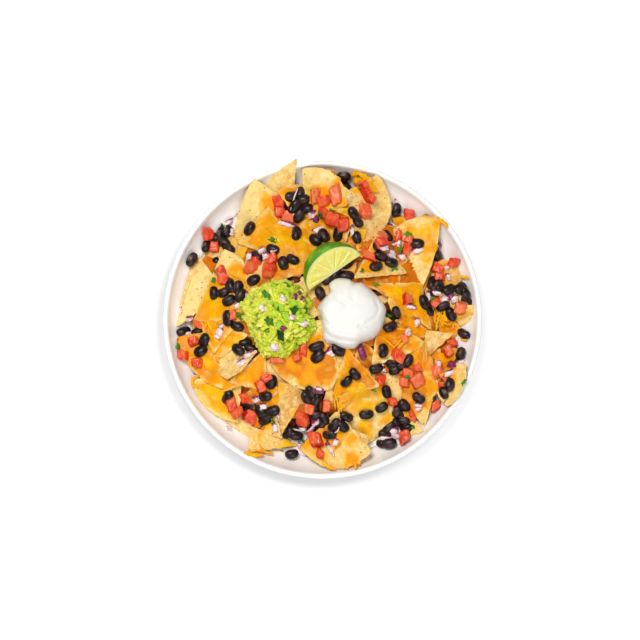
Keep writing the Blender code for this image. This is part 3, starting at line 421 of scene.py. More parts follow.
# The filler chips under all the others: how many, how far out they reach, the sides of each, the grid on
# which its plane is fitted, and the turn from one to the next in radians
FILLERS = 46
FILLER_REACH = 98.0
FILLER_SIDES = 24
FILLER_GRID = (-12.0, 0.0, 12.0)
GOLDEN_TURN = 2.39996
# Steps between two corners of a smooth profile
PROFILE_STEPS = 5


# Laying the heap, by the rule that its solid follows

def plate_surface(radius):
    """The height of the plate's upper face at a distance from its centre."""
    known = PLATE_INSIDE + ((LIP_CROWN, PLATE_HEIGHT), (PLATE_RADIUS + ROOM_OUTWARD, PLATE_HEIGHT))
    return np.interp(radius, [r for r, _ in known], [h for _, h in known])


def core_share(radius):
    """The height of the core at a distance from the centre, as a share of its full height."""
    return np.clip(1.0 - (radius / CORE_RADIUS) ** 2, 0.0, 1.0) ** CORE_FALL


def inside(x, y, outline):
    """Which points lie inside an outline."""
    hit = np.zeros(np.shape(x), bool)
    outline = [tuple(point) for point in outline]
    for (x1, y1), (x2, y2) in zip(outline, outline[1:] + outline[:1]):
        crosses = (y1 > y) != (y2 > y)
        hit ^= crosses & (x < x1 + (x2 - x1) * (y - y1) / (y2 - y1 + 1e-9))
    return hit


class Surface:
    """The upper surface of what has been laid so far, as heights on a square grid."""

    def __init__(self):
        axis = np.arange(-GRID_REACH, GRID_REACH + CELL, CELL)
        self.x, self.y = np.meshgrid(axis, axis, indexing="ij")
        radius = np.hypot(self.x, self.y)
        core = PLATE_FLOOR + CORE_HEIGHT * core_share(radius)
        self.z = np.maximum(plate_surface(radius) + CLEARANCE, np.where(radius < CORE_RADIUS, core, 0.0))

    def under(self, outline):
        """Which grid points lie inside an outline."""
        return inside(self.x, self.y, outline)

    def draped(self):
        """The heights of something soft laid over the surface: it bridges gaps and rounds steps."""
        soft = self.z
        for _ in range(6):
            soft = blurred(soft)
        soft = np.maximum(soft, self.z)
        for _ in range(2):
            soft = blurred(soft)
        return soft

    def draped_at(self, x, y):
        """The draped heights at points between those of the grid."""
        heights = self.draped()
        i = np.clip((x + GRID_REACH) / CELL, 0, self.x.shape[0] - 1.001)
        j = np.clip((y + GRID_REACH) / CELL, 0, self.x.shape[1] - 1.001)
        i0, j0 = i.astype(int), j.astype(int)
        u, v = i - i0, j - j0
        near = heights[i0, j0] * (1 - v) + heights[i0, j0 + 1] * v
        far = heights[i0 + 1, j0] * (1 - v) + heights[i0 + 1, j0 + 1] * v
        return near * (1 - u) + far * u

    def raise_to(self, chip):
        """Raises the surface to the top of a chip."""
        hit = self.under(chip.rim)
        top = chip.underside(self.x, self.y) + CHIP_THICKNESS + 0.5 * chip.puff(self.x, self.y)
        self.fill(hit, top)

    def fill(self, hit, top):
        """Raises the surface to a height where it is lower, at the grid points that are hit."""
        self.z = np.where(hit, np.maximum(self.z, top), self.z)

    def near(self, x, y, reach):
        """Which grid points lie round a place."""
        return np.hypot(self.x - x, self.y - y) < reach

    def seat(self, x, y, reach):
        """The height at which a small piece nestles among what lies round it."""
        return float(np.quantile(self.z[self.near(x, y, reach)], NESTLE))

    def slope(self, x, y, reach):
        """The mean slope of the surface round a point, along X and along Y."""
        near = self.near(x, y, reach)
        rows = np.column_stack((self.x[near] - x, self.y[near] - y, np.ones(near.sum())))
        fit = np.linalg.lstsq(rows, self.z[near], rcond=None)[0]
        return float(fit[0]), float(fit[1])


def blurred(heights):
    """Heights on the grid, each moved towards the mean of its neighbours."""
    for axis in (0, 1):
        heights = 0.5 * heights + 0.25 * (np.roll(heights, 1, axis) + np.roll(heights, -1, axis))
    return heights


def plane_through(points):
    """The (a, b, c) of the plane z = a x + b y + c through three points."""
    rows = np.array([(x, y, 1.0) for x, y, _ in points])
    return np.linalg.solve(rows, np.array([z for _, _, z in points]))


def surrounds(points, centre):
    """True if the centre lies in the triangle of the points, seen from above."""
    turns = []
    for (x1, y1, _), (x2, y2, _) in zip(points, points[1:] + points[:1]):
        turns.append((x2 - x1) * (centre[1] - y1) - (y2 - y1) * (centre[0] - x1))
    return min(turns) > 1e-6 or max(turns) < -1e-6


def resting_plane(spots, centre):
    """The plane on which a stiff chip comes to rest: it touches three spots round its centre, and no other
    spot stands above it. It starts on three spots far away and far below, and each round swaps one of the
    three for the spot that sticks out most."""
    far = 400.0
    low = -20.0 * far
    touching = [(centre[0] + far * math.cos(turn), centre[1] + far * math.sin(turn), low)
                for turn in (0.3, 0.3 + math.tau / 3, 0.3 + 2 * math.tau / 3)]
    plane = plane_through(touching)
    for _ in range(60):
        above = spots[:, 2] - (spots[:, 0] * plane[0] + spots[:, 1] * plane[1] + plane[2])
        worst = int(above.argmax())
        if above[worst] < 0.02:
            break
        newcomer = tuple(spots[worst])
        trials = [touching[:k] + [newcomer] + touching[k + 1:] for k in range(3)]
        fitting = [trial for trial in trials if surrounds(trial, centre)]
        if not fitting:
            break
        touching = fitting[0]
        plane = plane_through(touching)
    return plane


def eased(plane, centre):
    """The same plane, turned about the chip's centre until it is no steeper than a chip can lie."""
    slope = math.hypot(plane[0], plane[1])
    if slope > STEEPEST_CHIP:
        height = float(np.dot(plane, (*centre, 1.0)))
        plane = plane * (STEEPEST_CHIP / slope)
        plane[2] = height - float(np.dot(plane[:2], centre))
    return plane


def chip_outline(corners, bows, wide_steps=4, narrow_steps=2):
    """The corners, with points between them where an edge bows out."""
    outline = []
    middle = np.mean(corners, axis=0)
    for k, start in enumerate(corners):
        end = corners[(k + 1) % len(corners)]
        outline.append(tuple(float(v) for v in start))
        bow = bows.get(k, 0.0)
        if not bow:
            continue
        along = np.subtract(end, start)
        outward = np.array((along[1], -along[0])) / np.hypot(*along)
        if np.dot(outward, np.subtract(start, middle)) < 0:
            outward = -outward
        steps = wide_steps if bow > STRONG_BOW else narrow_steps
        for step in range(1, steps):
            share = step / steps
            swell = bow * 4.0 * share * (1.0 - share)
            outline.append(tuple(float(v) for v in np.add(start, along * share + outward * swell)))
    return outline


def lay_chip(surface, corners, bows, lifts):
    """Lays a chip on the heap, adds it to the surface, and returns the plane of its underside."""
    outline = chip_outline(corners, bows)
    hit = surface.under(outline)
    spots = np.column_stack((surface.x[hit], surface.y[hit], surface.z[hit]))
    centre = np.mean(outline, axis=0)
    plane = eased(resting_plane(spots, centre), centre)
    if lifts:
        plane = plane + plane_through([(*corners[k], lifts.get(k, 0.0)) for k in range(3)])
    plane[2] -= CHIP_SINK
    top = surface.x * plane[0] + surface.y * plane[1] + plane[2] + CHIP_THICKNESS
    surface.fill(hit, top)
    return plane


# Meshes

class Gather:
    """Collects small closed shapes into one mesh, with named numbers kept at each point for its material."""

    def __init__(self, *marks):
        self.points = []
        self.quads = []
        self.marks = {mark: [] for mark in marks}
        self.count = 0

    def add(self, points, quads, **marks):
        """Adds a shape from its points and quads. A triangle is a quad that repeats its last point."""
        self.points.append(np.asarray(points, float))
        self.quads.append(np.asarray(quads, int) + self.count)
        for mark, kept in self.marks.items():
            kept.append(np.broadcast_to(np.asarray(marks.get(mark, 0.0), float), (len(points),)))
        self.count += len(points)

    def build(self, name, material, nodes):
        """Makes the object, which rides on the root and stands for the nodes."""
        points = np.concatenate(self.points) * MM
        quads = np.concatenate(self.quads)
        faces = [tuple(q[:3]) if q[3] == q[2] else tuple(q) for q in quads.tolist()]
        mesh = bpy.data.meshes.new(name)
        mesh.from_pydata(points.tolist(), [], faces)
        for mark, kept in self.marks.items():
            layer = mesh.attributes.new(mark, "FLOAT", "POINT")
            layer.data.foreach_set("value", np.concatenate(kept).astype(np.float32))
        mesh.materials.append(material)
        mesh.shade_smooth()
        made = bpy.data.objects.new(name, mesh)
        bpy.context.scene.collection.objects.link(made)
        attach(made, "root")
        if nodes:
            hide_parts(*nodes)
        return made


def loft_quads(rows, sides):
    """The quads of a closed body of rows of points, whose last two points are the caps' middles."""
    k = np.arange(sides)
    after = (k + 1) % sides
    quads = []
    for row in range(rows - 1):
        low, high = row * sides, (row + 1) * sides
        quads.append(np.column_stack((low + k, low + after, high + after, high + k)))
    first, last = rows * sides, rows * sides + 1
    quads.append(np.column_stack((after, k, np.full(sides, first), np.full(sides, first))))
    top = (rows - 1) * sides
    quads.append(np.column_stack((top + k, top + after, np.full(sides, last), np.full(sides, last))))
    return np.concatenate(quads)


def stacked(x, y, z):
    """Points from their coordinates, each an array or one number for all."""
    return np.stack(np.broadcast_arrays(x, y, z), axis=-1)


def closed(rows, first, last):
    """The points and quads of a closed body, from its rows of points and the middles of its two caps."""
    return np.concatenate((rows.reshape(-1, 3), (first, last))), loft_quads(*rows.shape[:2])


def curve_between(p0, p1, p2, p3, t):
    """Points of a smooth curve from p1 to p2, which also knows the corner before and the one after."""
    return 0.5 * (2 * p1 + (p2 - p0) * t + (2 * p0 - 5 * p1 + 4 * p2 - p3) * t ** 2
                  + (3 * p1 - p0 - 3 * p2 + p3) * t ** 3)


def waves(x, y, length, seed, count=5):
    """A smooth uneven pattern between about -1 and 1, from a few crossing waves."""
    draw = random.Random(seed)
    total = np.zeros(np.shape(x))
    for _ in range(count):
        turn = draw.uniform(0, math.tau)
        wide = length * draw.uniform(0.7, 1.5)
        start = draw.uniform(0, math.tau)
        total = total + np.sin((x * math.cos(turn) + y * math.sin(turn)) * math.tau / wide + start)
    return total / count ** 0.5 / 1.2


def evenly(outline, count):
    """Points evenly spaced along a closed outline."""
    loop = np.array(list(outline) + [outline[0]], float)
    run = np.concatenate(([0.0], np.cumsum(np.hypot(*np.diff(loop, axis=0).T))))
    at = np.linspace(0.0, run[-1], count, endpoint=False)
    return np.column_stack((np.interp(at, run, loop[:, 0]), np.interp(at, run, loop[:, 1])))


def softened(loop, times):
    """A closed outline with its corners rounded."""
    for _ in range(times):
        loop = 0.5 * loop + 0.25 * (np.roll(loop, 1, axis=0) + np.roll(loop, -1, axis=0))
    return loop


class Chip:
    """One tortilla chip: its outline, where it rests, and how it warped and blistered as it fried."""

    def __init__(self, seed, corners, bows, plane, sides=64, tone=None, curl=None):
        draw = random.Random(seed)
        self.seed = seed
        self.plane = plane
        self.rim = softened(evenly(chip_outline(corners, bows, 12, 8), sides), 1)
        self.centre = self.rim.mean(axis=0)
        self.rim = self.rim + 0.3 * waves(self.rim, self.rim[:, ::-1], 6.0, seed)
        self.tone = draw.uniform(0.0, 1.0) if tone is None else tone
        self.reach = float(np.hypot(*(self.rim - self.centre).T).mean())
        rise, turn = curl or (draw.uniform(-2.5, 3.2), draw.uniform(0, 180))
        self.curl_along = (math.cos(math.radians(turn)), math.sin(math.radians(turn)))
        self.curl = rise / max(self.reach, 12.0) ** 2
        self.blisters = []
        for _ in range(int(self.reach * 0.55)):
            angle, far = draw.uniform(0, math.tau), self.reach * draw.uniform(0, 1) ** 0.5
            spot = self.centre + far * np.array((math.cos(angle), math.sin(angle)))
            self.blisters.append((*spot, draw.uniform(1.6, 4.2), draw.uniform(0.3, 1.0)))

    def puff(self, x, y):
        """How far the blisters stand up."""
        total = 0.34 * waves(x, y, 7.0, self.seed + 1) + 0.16 * waves(x, y, 3.2, self.seed + 2)
        for bx, by, wide, high in self.blisters:
            total = total + high * np.exp(-((x - bx) ** 2 + (y - by) ** 2) / wide ** 2)
        return total

    def underside(self, x, y):
        """The height of the chip's lower face."""
        across = (x - self.centre[0]) * self.curl_along[0] + (y - self.centre[1]) * self.curl_along[1]
        warp = self.curl * across ** 2 + 0.7 * waves(x, y, 45.0, self.seed + 3, 3)
        return self.plane[0] * x + self.plane[1] * y + self.plane[2] + warp

    def rings(self, shares, grow=1.0):
        """Points on rings from the centre out, as two arrays of x and y."""
        spread = (self.rim - self.centre) * grow
        x = self.centre[0] + np.outer(shares, spread[:, 0])
        y = self.centre[1] + np.outer(shares, spread[:, 1])
        return x, y


TOP_SHARES = np.array((0.08, 0.17, 0.26, 0.35, 0.44, 0.53, 0.62, 0.7, 0.78, 0.85, 0.91, 0.96, 0.99))
LOW_SHARES = np.array((0.4, 0.8, 0.97))
RIM_GROWTH = 1.012


def chip_shape(chip):
    """The points, quads and marks of a chip as a blistered slab with a rounded rim."""
    x, y = chip.rings(TOP_SHARES)
    low_x, low_y = chip.rings(LOW_SHARES)
    rim_x, rim_y = chip.rings(np.array((1.0,)), RIM_GROWTH)
    puff = chip.puff(x, y)
    low = stacked(low_x, low_y, chip.underside(low_x, low_y) + 0.5 * chip.puff(low_x, low_y))
    mid = stacked(rim_x, rim_y, chip.underside(rim_x, rim_y) + CHIP_THICKNESS / 2)
    high = stacked(x, y, chip.underside(x, y) + CHIP_THICKNESS + puff)
    rows = np.concatenate((low, mid, high[::-1]))
    cx, cy = chip.centre
    base = float(chip.underside(cx, cy))
    swell = float(chip.puff(cx, cy))
    points, quads = closed(rows, (cx, cy, base + 0.5 * swell), (cx, cy, base + CHIP_THICKNESS + swell))
    sides = len(chip.rim)
    puffs = np.concatenate((np.zeros(low[..., 0].size + sides), puff[::-1].ravel(), (0.0, swell)))
    # The edge mark says how far out each point lies; the tortilla look paints a highlight along the rim with
    # it
    shares = np.concatenate((LOW_SHARES, (1.0,), TOP_SHARES[::-1]))
    edge = np.concatenate((np.repeat(shares, sides), (0, 0)))
    return points, quads, puffs, edge


def tucked(points, above):
    """Points pushed down to just inside the chips that were laid over them."""
    x, y, z = points.T
    for chip in above:
        (x1, y1), (x2, y2) = chip.rim.min(axis=0), chip.rim.max(axis=0)
        near = np.flatnonzero((x > x1) & (x < x2) & (y > y1) & (y < y2))
        near = near[inside(x[near], y[near], chip.rim)]
        roof = chip.underside(x[near], y[near]) + CHIP_THICKNESS / 3
        over = (z[near] > roof) & (z[near] < roof + 8.0)
        z[near] = np.where(over, roof, z[near])
    return np.column_stack((x, y, z))


def above_plate(points):
    """Points raised to just over the plate where they would be in it."""
    floor = plate_surface(np.hypot(points[:, 0], points[:, 1])) + PLATE_GAP
    points[:, 2] = np.maximum(points[:, 2], floor)
    return points


def pool_level(x, y, pools):
    """How far, in millimetres, a place lies inside the nearest pool of cheese."""
    level = np.full(np.shape(x), -50.0)
    for px, py, across, up, turn in pools:
        angle = math.radians(turn)
        u = (x - px) * math.cos(angle) + (y - py) * math.sin(angle)
        v = (y - py) * math.cos(angle) - (x - px) * math.sin(angle)
        level = np.maximum(level, (1.0 - np.hypot(u / across, v / up)) * min(across, up))
    return level


FILM_SHARES = np.concatenate((np.linspace(0.06, 0.9, 14), (0.94, 0.97, 1.0)))
FILM_LOW_SHARES = np.array((0.5, 1.0))


def film_shape(chip, bare, pools):
    """The points, quads and marks of the cheese melted on one chip. Where there is none it dips into the
    chip, and where it reaches the rim it runs over it here and there."""
    shares = FILM_SHARES * (1.0 if bare > 0 else RIM_GROWTH)
    x, y = chip.rings(shares)
    low_x, low_y = chip.rings(FILM_LOW_SHARES)
    inward = (1.0 - np.outer(shares, np.ones(len(chip.rim)))) * chip.reach
    level = inward - bare + 1.2
    if pools:
        level = np.minimum(level, pool_level(x, y, pools))
    level = level + 2.4 * waves(x, y, 15.0, chip.seed + 4) + 1.1 * waves(x, y, 6.0, chip.seed + 5)
    melt = np.where(level > 0, 1.0 - np.exp(-np.maximum(level, 0) / 4.5), 0.3 * level)
    bumps = 1.0 + 0.45 * waves(x, y, 14.0, chip.seed + 6) + 0.18 * waves(x, y, 5.5, chip.seed + 7)
    depth = np.clip(melt, -0.9, 1.0) * np.where(level > 0, 1.5 * bumps, 1.0)
    ground = chip.underside(x, y) + CHIP_THICKNESS + 0.6 * chip.puff(x, y)
    top = stacked(x, y, ground + depth + 0.2)
    outward = chip.rim - chip.centre
    outward = outward / np.hypot(*outward.T)[:, None]
    ragged = np.clip(waves(x[-1], y[-1], 9.0, chip.seed + 8) + 0.2, 0, 1.2)
    run = np.clip(level[-1] / 2.5, 0, 1) * ragged * 3.2
    drip = top[-1] + np.column_stack((outward * run[:, None], -0.5 - 0.7 * run))
    low = stacked(low_x, low_y, chip.underside(low_x, low_y) + 0.5)
    cx, cy = chip.centre
    middle = float(top[0, :, 2].mean())
    rows = np.concatenate((low, drip[None], top[::-1]))
    thick = np.concatenate((np.zeros(low_x.size), level[-1], level[::-1].ravel(), (0.0, level[0].mean())))
    return *closed(rows, (cx, cy, middle - 1.8), (cx, cy, middle)), thick


def melt_shape(surface, outline, seed):
    """The points, quads, marks and outline of cheese that ran over several chips and the gaps between."""
    rim = softened(evenly(outline, 84), 5)
    rim = rim + 1.6 * waves(rim, rim[:, ::-1], 13.0, seed) + 0.6 * waves(rim, rim[:, ::-1], 4.0, seed + 1)
    centre = rim.mean(axis=0)
    shares = np.linspace(0.04, 1.0, 25)
    x = centre[0] + np.outer(shares, rim[:, 0] - centre[0])
    y = centre[1] + np.outer(shares, rim[:, 1] - centre[1])
    reach = float(np.hypot(*(rim - centre).T).mean())
    inward = np.outer(1.0 - shares, np.full(len(rim), reach))
    level = inward + 1.2 * waves(x, y, 9.0, seed + 2) - 0.8
    depth = np.where(level > 0, 1.9 * (1.0 - np.exp(-np.maximum(level, 0) / 3.5)), 0.8 * level)
    depth = depth * (1.0 + 0.2 * waves(x, y, 8.0, seed + 3))
    ground = surface.draped_at(x, y)
    top = stacked(x, y, ground + np.maximum(depth, -2.0))
    low = stacked(x[-1:], y[-1:], ground[-1:] - 2.6)
    rows = np.concatenate((low, top[::-1]))
    middle = float(top[0, :, 2].mean())
    thick = np.concatenate((np.zeros(len(rim)), level[::-1].ravel(), (0.0, level[0].mean())))
    return *closed(rows, (*centre, middle - 3.0), (*centre, middle)), thick, rim


def tube_shape(path, width, surface, lift, squash):
    """The points and quads of a tapered string laid over the surface along a path."""
    path = np.array(path, float)
    run = np.linspace(0, len(path) - 1, 6 * len(path))
    x = softened_line(np.interp(run, np.arange(len(path)), path[:, 0]))
    y = softened_line(np.interp(run, np.arange(len(path)), path[:, 1]))
    z = softened_line(surface.draped_at(x, y), 6) + lift
    along = np.gradient(np.column_stack((x, y)), axis=0)
    along /= np.maximum(np.hypot(*along.T), 1e-6)[:, None]
    share = np.linspace(0, 1, len(run))
    half = width / 2 * np.clip(np.minimum(share, 1 - share) * 6, 0.25, 1.0) ** 0.5
    half = half * (1.0 + 0.2 * np.sin(share * 17.0 + width))
    turns = np.arange(TUBE_SIDES) * math.tau / TUBE_SIDES
    side = np.outer(half, np.cos(turns))
    rise = np.outer(half, np.sin(turns)) * squash
    rows = stacked(x[:, None] - side * along[:, 1:2], y[:, None] + side * along[:, 0:1], z[:, None] + rise)
    return closed(rows, rows[0].mean(axis=0), rows[-1].mean(axis=0))


def softened_line(values, times=4):
    """A line of values with its corners rounded and its ends kept."""
    for _ in range(times):
        inner = 0.5 * values[1:-1] + 0.25 * (values[:-2] + values[2:])
        values = np.concatenate((values[:1], inner, values[-1:]))
    return values


def either_way(draw, *most):
    """Random turns in radians, each no further than its most either way."""
    return tuple(draw.uniform(-far, far) for far in most)


def placed(points, place, lean, turn, slope=(0.0, 0.0)):
    """Points turned about Z, leaned, tipped to the slope that they lie on, and moved to their place."""
    spin = Euler((lean[0], lean[1], math.radians(turn))).to_matrix()
    normal = Vector((-slope[0], -slope[1], 1.0)).normalized()
    tip = Vector((0, 0, 1)).rotation_difference(normal).to_matrix()
    return points @ np.array((tip @ spin).transposed()) + np.array(place)


def resting(surface, points, spot, height, reaches, lean, turn):
    """A topping set down at (x, y) with its middle at a height above its seat: its points, and the seat's
    height. The reaches say how far round it the surface is read, for the seat and for the slope."""
    seat = surface.seat(*spot, reaches[0])
    slope = surface.slope(*spot, reaches[1])
    return placed(points, (*spot, seat + height), lean, turn, slope), seat


def bean_shape(draw):
    """A black bean: a fat oval, bent a little, flat on the side of its eye."""
    turns = np.arange(BEAN_SIDES) * math.tau / BEAN_SIDES
    stations = np.sin(np.linspace(-0.46, 0.46, BEAN_ROWS) * math.pi) / math.sin(0.46 * math.pi) * 0.985
    wide = np.sqrt(1.0 - stations ** 2 * 0.97) ** 0.8
    size = draw.uniform(0.97, 1.15)
    length, width, height = (side * size / 2 for side in BEAN)
    length *= draw.uniform(0.88, 1.0)
    width *= draw.uniform(0.94, 1.08)
    x = stations[:, None] * length * np.ones(BEAN_SIDES)
    y = wide[:, None] * np.cos(turns) * width
    z = wide[:, None] * np.sin(turns) * height
    dent = np.exp(-(x / (0.35 * length)) ** 2) * np.clip(np.cos(turns), 0, 1) ** 3 * 0.35
    y = y - dent + 0.25 * (x / length) ** 2
    eye = np.exp(-(x / 1.7) ** 2) * np.clip(np.cos(turns), 0, 1) ** 14
    marks = np.concatenate((eye.ravel(), (0.0, 0.0)))
    return *closed(stacked(x, y, z), (-length, 0.25, 0.0), (length, 0.25, 0.0)), marks


def block_shape(size, draw, steps, rough, round_share):
    """A cut block with soft edges and uneven faces. The mark runs from 0 on a face to 1 on its opposite."""
    body = bmesh.new()
    bmesh.ops.create_cube(body, size=2.0)
    bmesh.ops.subdivide_edges(body, edges=body.edges, cuts=steps - 1, use_grid_fill=True)
    points = np.array([v.co for v in body.verts])
    quads = np.array([[v.index for v in f.verts] for f in body.faces])
    body.free()
    clipped = np.clip(points, -(1.0 - round_share), 1.0 - round_share)
    corner = points - clipped
    length = np.linalg.norm(corner, axis=1, keepdims=True)
    shape = clipped + corner / np.maximum(length, 1e-9) * round_share
    skew = np.array([[1.0, draw.uniform(-0.3, 0.3), 0.0], [draw.uniform(-0.3, 0.3), 1.0, 0.0],
                     [draw.uniform(-0.25, 0.25), draw.uniform(-0.25, 0.25), 1.0]])
    shape = shape @ skew
    shape = shape * (1.0 - draw.uniform(0.0, 0.3) * (points[:, 2:3] + 1) / 2 * np.array((1.0, 0.0, 0.0)))
    shape = shape * (1.0 - draw.uniform(-0.2, 0.3) * (points[:, 0:1] + 1) / 2 * np.array((0.0, 1.0, 0.0)))
    shape = shape * np.array(size) / 2
    seed = draw.randrange(10 ** 6)
    bump = waves(shape[:, 0] + shape[:, 2] * 1.7, shape[:, 1] - shape[:, 2] * 1.3, 5.0, seed)
    shape = shape * (1.0 + rough * 0.12 * bump[:, None])
    return shape, quads, (points[:, draw.choice((0, 1, 2))] + 1) / 2


def onion_shape(size, draw):
    """A cut piece of onion: a bent slab of one or two layers. The mark is 1 along the skin's side."""
    length, width, _ = size
    shape, quads, _ = block_shape(size, draw, 8, 0.25, 0.24)
    across = shape[:, 1] / width * 2
    bend = draw.uniform(0.1, 0.3) * width
    shape[:, 2] += bend * (1.0 - (shape[:, 0] / length * 2) ** 2) * 0.5
    shape[:, 2] += 0.25 * np.sign(np.sin(across * 4.5)) * (shape[:, 2] > 0)
    return shape, quads, np.clip(across * 0.5 + 0.5, 0, 1)


def leaf_shape(size, draw):
    """A torn piece of coriander leaf: a thin wavy lobed plate, closed all round."""
    sides = 20
    turns = np.arange(sides) * math.tau / sides
    lobes = draw.choice((3, 4, 5))
    start = draw.uniform(0, math.tau)
    far = size * (0.84 + 0.16 * np.cos(lobes * turns + start)) * (1 + 0.08 * np.cos(9 * turns + start))
    stretch = draw.uniform(0.45, 0.8)
    shares = np.array((0.35, 0.7, 1.0))
    x = np.outer(shares, far * np.cos(turns))
    y = np.outer(shares, far * np.sin(turns) * stretch)
    wave = 0.5 * np.sin(x * 1.3 + start) + 0.4 * np.cos(y * 1.7 + start) + 0.06 * x * x
    rows = np.concatenate((stacked(x, y, wave - 0.2), stacked(x, y, wave + 0.2)[::-1]))
    middle = wave[0].mean()
    return closed(rows, (0, 0, middle - 0.2), (0, 0, middle + 0.2))


# Materials

def paint(red, green, blue):
    """A colour as seen on a screen, turned into linear light."""
    screen = (red, green, blue)
    return *(((v + 0.055) / 1.055) ** 2.4 if v > 0.04045 else v / 12.92 for v in screen), 1.0


class Look:
    """A Principled material, with short ways to add nodes to it."""

    def __init__(self, name, roughness, specular, scatter=0.0, radius=(1.0, 0.4, 0.15), scale=0.002,
                 coat=0.0):
        self.material = bpy.data.materials.new(name)
        self.material.use_nodes = True
        self.nodes = self.material.node_tree.nodes
        self.links = self.material.node_tree.links
        self.shader = self.nodes["Principled BSDF"]
        values = {
            "Roughness": roughness, "Specular IOR Level": specular, "Coat Weight": coat,
            "Coat Roughness": 0.15, "Subsurface Weight": scatter, "Subsurface Radius": radius,
            "Subsurface Scale": scale,
        }
        for socket, value in values.items():
            self.shader.inputs[socket].default_value = value
        self.place = self.nodes.new("ShaderNodeTexCoord").outputs["Object"]

    def node(self, kind, inputs, settings=()):
        """Adds a node, its inputs set to plain values or linked to outputs, and returns its outputs."""
        made = self.nodes.new("ShaderNode" + kind)
        for name, value in dict(settings).items():
            setattr(made, name, value)
        for name, source in inputs.items():
            if isinstance(source, bpy.types.NodeSocket):
                self.links.new(source, made.inputs[name])
            else:
                made.inputs[name].default_value = source
        return made.outputs

    def noise(self, size, detail=3.0, roughness=0.5):
        """Noise whose features are about as wide as the size in millimetres."""
        inputs = {"Scale": 1000.0 / size, "Detail": detail, "Roughness": roughness, "Vector": self.place}
        return self.node("TexNoise", inputs)["Fac"]

    def cells(self, size):
        """The distance to the nearest of scattered spots, for cells of about the size in millimetres."""
        return self.node("TexVoronoi", {"Scale": 1000.0 / size, "Vector": self.place})["Distance"]

    def mark(self, name):
        """The number kept at the mesh's points under this name."""
        return self.node("Attribute", {}, {"attribute_name": name})["Fac"]

    def share(self, source, low, high):
        """The source stretched so that low becomes 0 and high becomes 1, and cut off there."""
        inputs = {"Value": source, "From Min": low, "From Max": high}
        return self.node("MapRange", inputs, {"interpolation_type": "SMOOTHSTEP"})["Result"]

    def math(self, operation, first, second):
        """An operation on two numbers."""
        return self.node("Math", {0: first, 1: second}, {"operation": operation})[0]

    def add(self, first, second):
        """The sum of two numbers."""
        return self.math("ADD", first, second)

    def times(self, first, second):
        """The product of two numbers."""
        return self.math("MULTIPLY", first, second)

    def swayed(self, source, pattern, much):
        """A number moved up and down by noise."""
        return self.add(source, self.times(self.math("SUBTRACT", pattern, 0.5), much))

    def mix(self, share, first, second):
        """Two colours mixed by a share."""
        return self.node("Mix", {"Factor": share, "A": first, "B": second}, {"data_type": "RGBA"})["Result"]

    def over(self, base, colour, source, low, high, most=1.0):
        """The base with a screen colour over it: none where the source is low, the most where it is high."""
        share = self.share(source, low, high)
        if most < 1.0:
            share = self.times(share, most)
        return self.mix(share, base, paint(*colour))

    def bump(self, height, depth):
        """Relief too fine for the mesh, its depth in millimetres."""
        normal = self.node("Bump", {"Distance": depth * MM, "Height": height})["Normal"]
        self.links.new(normal, self.shader.inputs["Normal"])

    def colour(self, source):
        """Sets the base colour, and returns the finished material."""
        self.links.new(source, self.shader.inputs["Base Color"])
        return self.material


def tortilla_look():
    """Fried corn: pale gold to tan, with pale blisters, dark flecks and a painted highlight along the rim.
    """
    look = Look("tortilla", 0.5, 0.3, 0.1, (1.0, 0.5, 0.2), 0.001)
    tone = look.swayed(look.mark("tone"), look.noise(18.0, 4.0), 2.2)
    base = look.over(paint(1.0, 0.88, 0.55), (0.97, 0.79, 0.43), tone, -0.1, 0.6)
    base = look.over(base, (0.91, 0.66, 0.32), tone, 0.5, 1.4)
    base = look.over(base, (1.0, 0.89, 0.62), look.noise(4.2, 4.0, 0.65), 0.46, 0.62, 0.85)
    base = look.over(base, (0.89, 0.67, 0.33), look.noise(6.5, 4.0, 0.65), 0.52, 0.66, 0.6)
    # Paler on raised blisters: partly the colour of blistered corn, partly a painted highlight on the
    # blister tops
    base = look.over(base, (0.99, 0.90, 0.66), look.mark("puff"), 0.2, 1.5, 0.7)
    # Paler cream along the rim: a painted highlight where the chip's cut edge catches the light
    base = look.over(base, (0.98, 0.88, 0.60), look.mark("edge"), 0.96, 1.0)
    ragged = look.add(look.cells(4.4), look.times(look.noise(1.3, 2.0), 0.26))
    flecks = look.times(look.share(ragged, 0.32, 0.22), look.share(look.noise(8.0, 2.0), 0.42, 0.54))
    base = look.mix(look.times(flecks, 0.85), base, paint(0.44, 0.27, 0.09))
    look.bump(look.add(look.noise(1.6, 4.0, 0.7), look.noise(5.0, 2.0)), 0.6)
    return look.colour(base)


def cheese_look():
    """Melted yellow cheese: glossy and deep orange where it is thick, peach-coloured where it thins out."""
    look = Look("melted_cheese", 0.34, 0.2, 0.15, (1.0, 0.4, 0.06), 0.002)
    tone = look.swayed(look.mark("tone"), look.noise(14.0), 2.6)
    base = look.over(paint(0.99, 0.74, 0.0), (0.98, 0.645, 0.0), tone, 0.0, 0.45)
    base = look.over(base, (0.87, 0.47, 0.01), tone, 0.5, 1.1)
    # Tones from 1.2 to 2.0 turn the cheese dark brown: painted shade for cheese deep in the heap
    base = look.over(base, (0.62, 0.30, 0.03), tone, 1.2, 2.0)
    base = look.over(base, (0.99, 0.75, 0.28), look.noise(14.0), 0.54, 0.70, 0.55)
    thick = look.add(look.mark("thick"), look.times(look.noise(5.0), 3.0))
    base = look.over(base, (0.98, 0.79, 0.40), thick, 5.5, 1.3)
    look.bump(look.add(look.noise(7.0), look.times(look.noise(2.0), 0.3)), 0.7)
    return look.colour(base)


def bean_look():
    """Cooked black beans: near black with a plum tint, a satin skin and a pale eye."""
    look = Look("black_bean", 0.34, 0.34)
    base = look.over(paint(0.055, 0.02, 0.02), (0.26, 0.165, 0.165), look.noise(5.0), 0.38, 0.70)
    base = look.mix(look.mark("eye"), base, paint(0.60, 0.50, 0.45))
    look.bump(look.noise(1.4), 0.12)
    return look.colour(base)


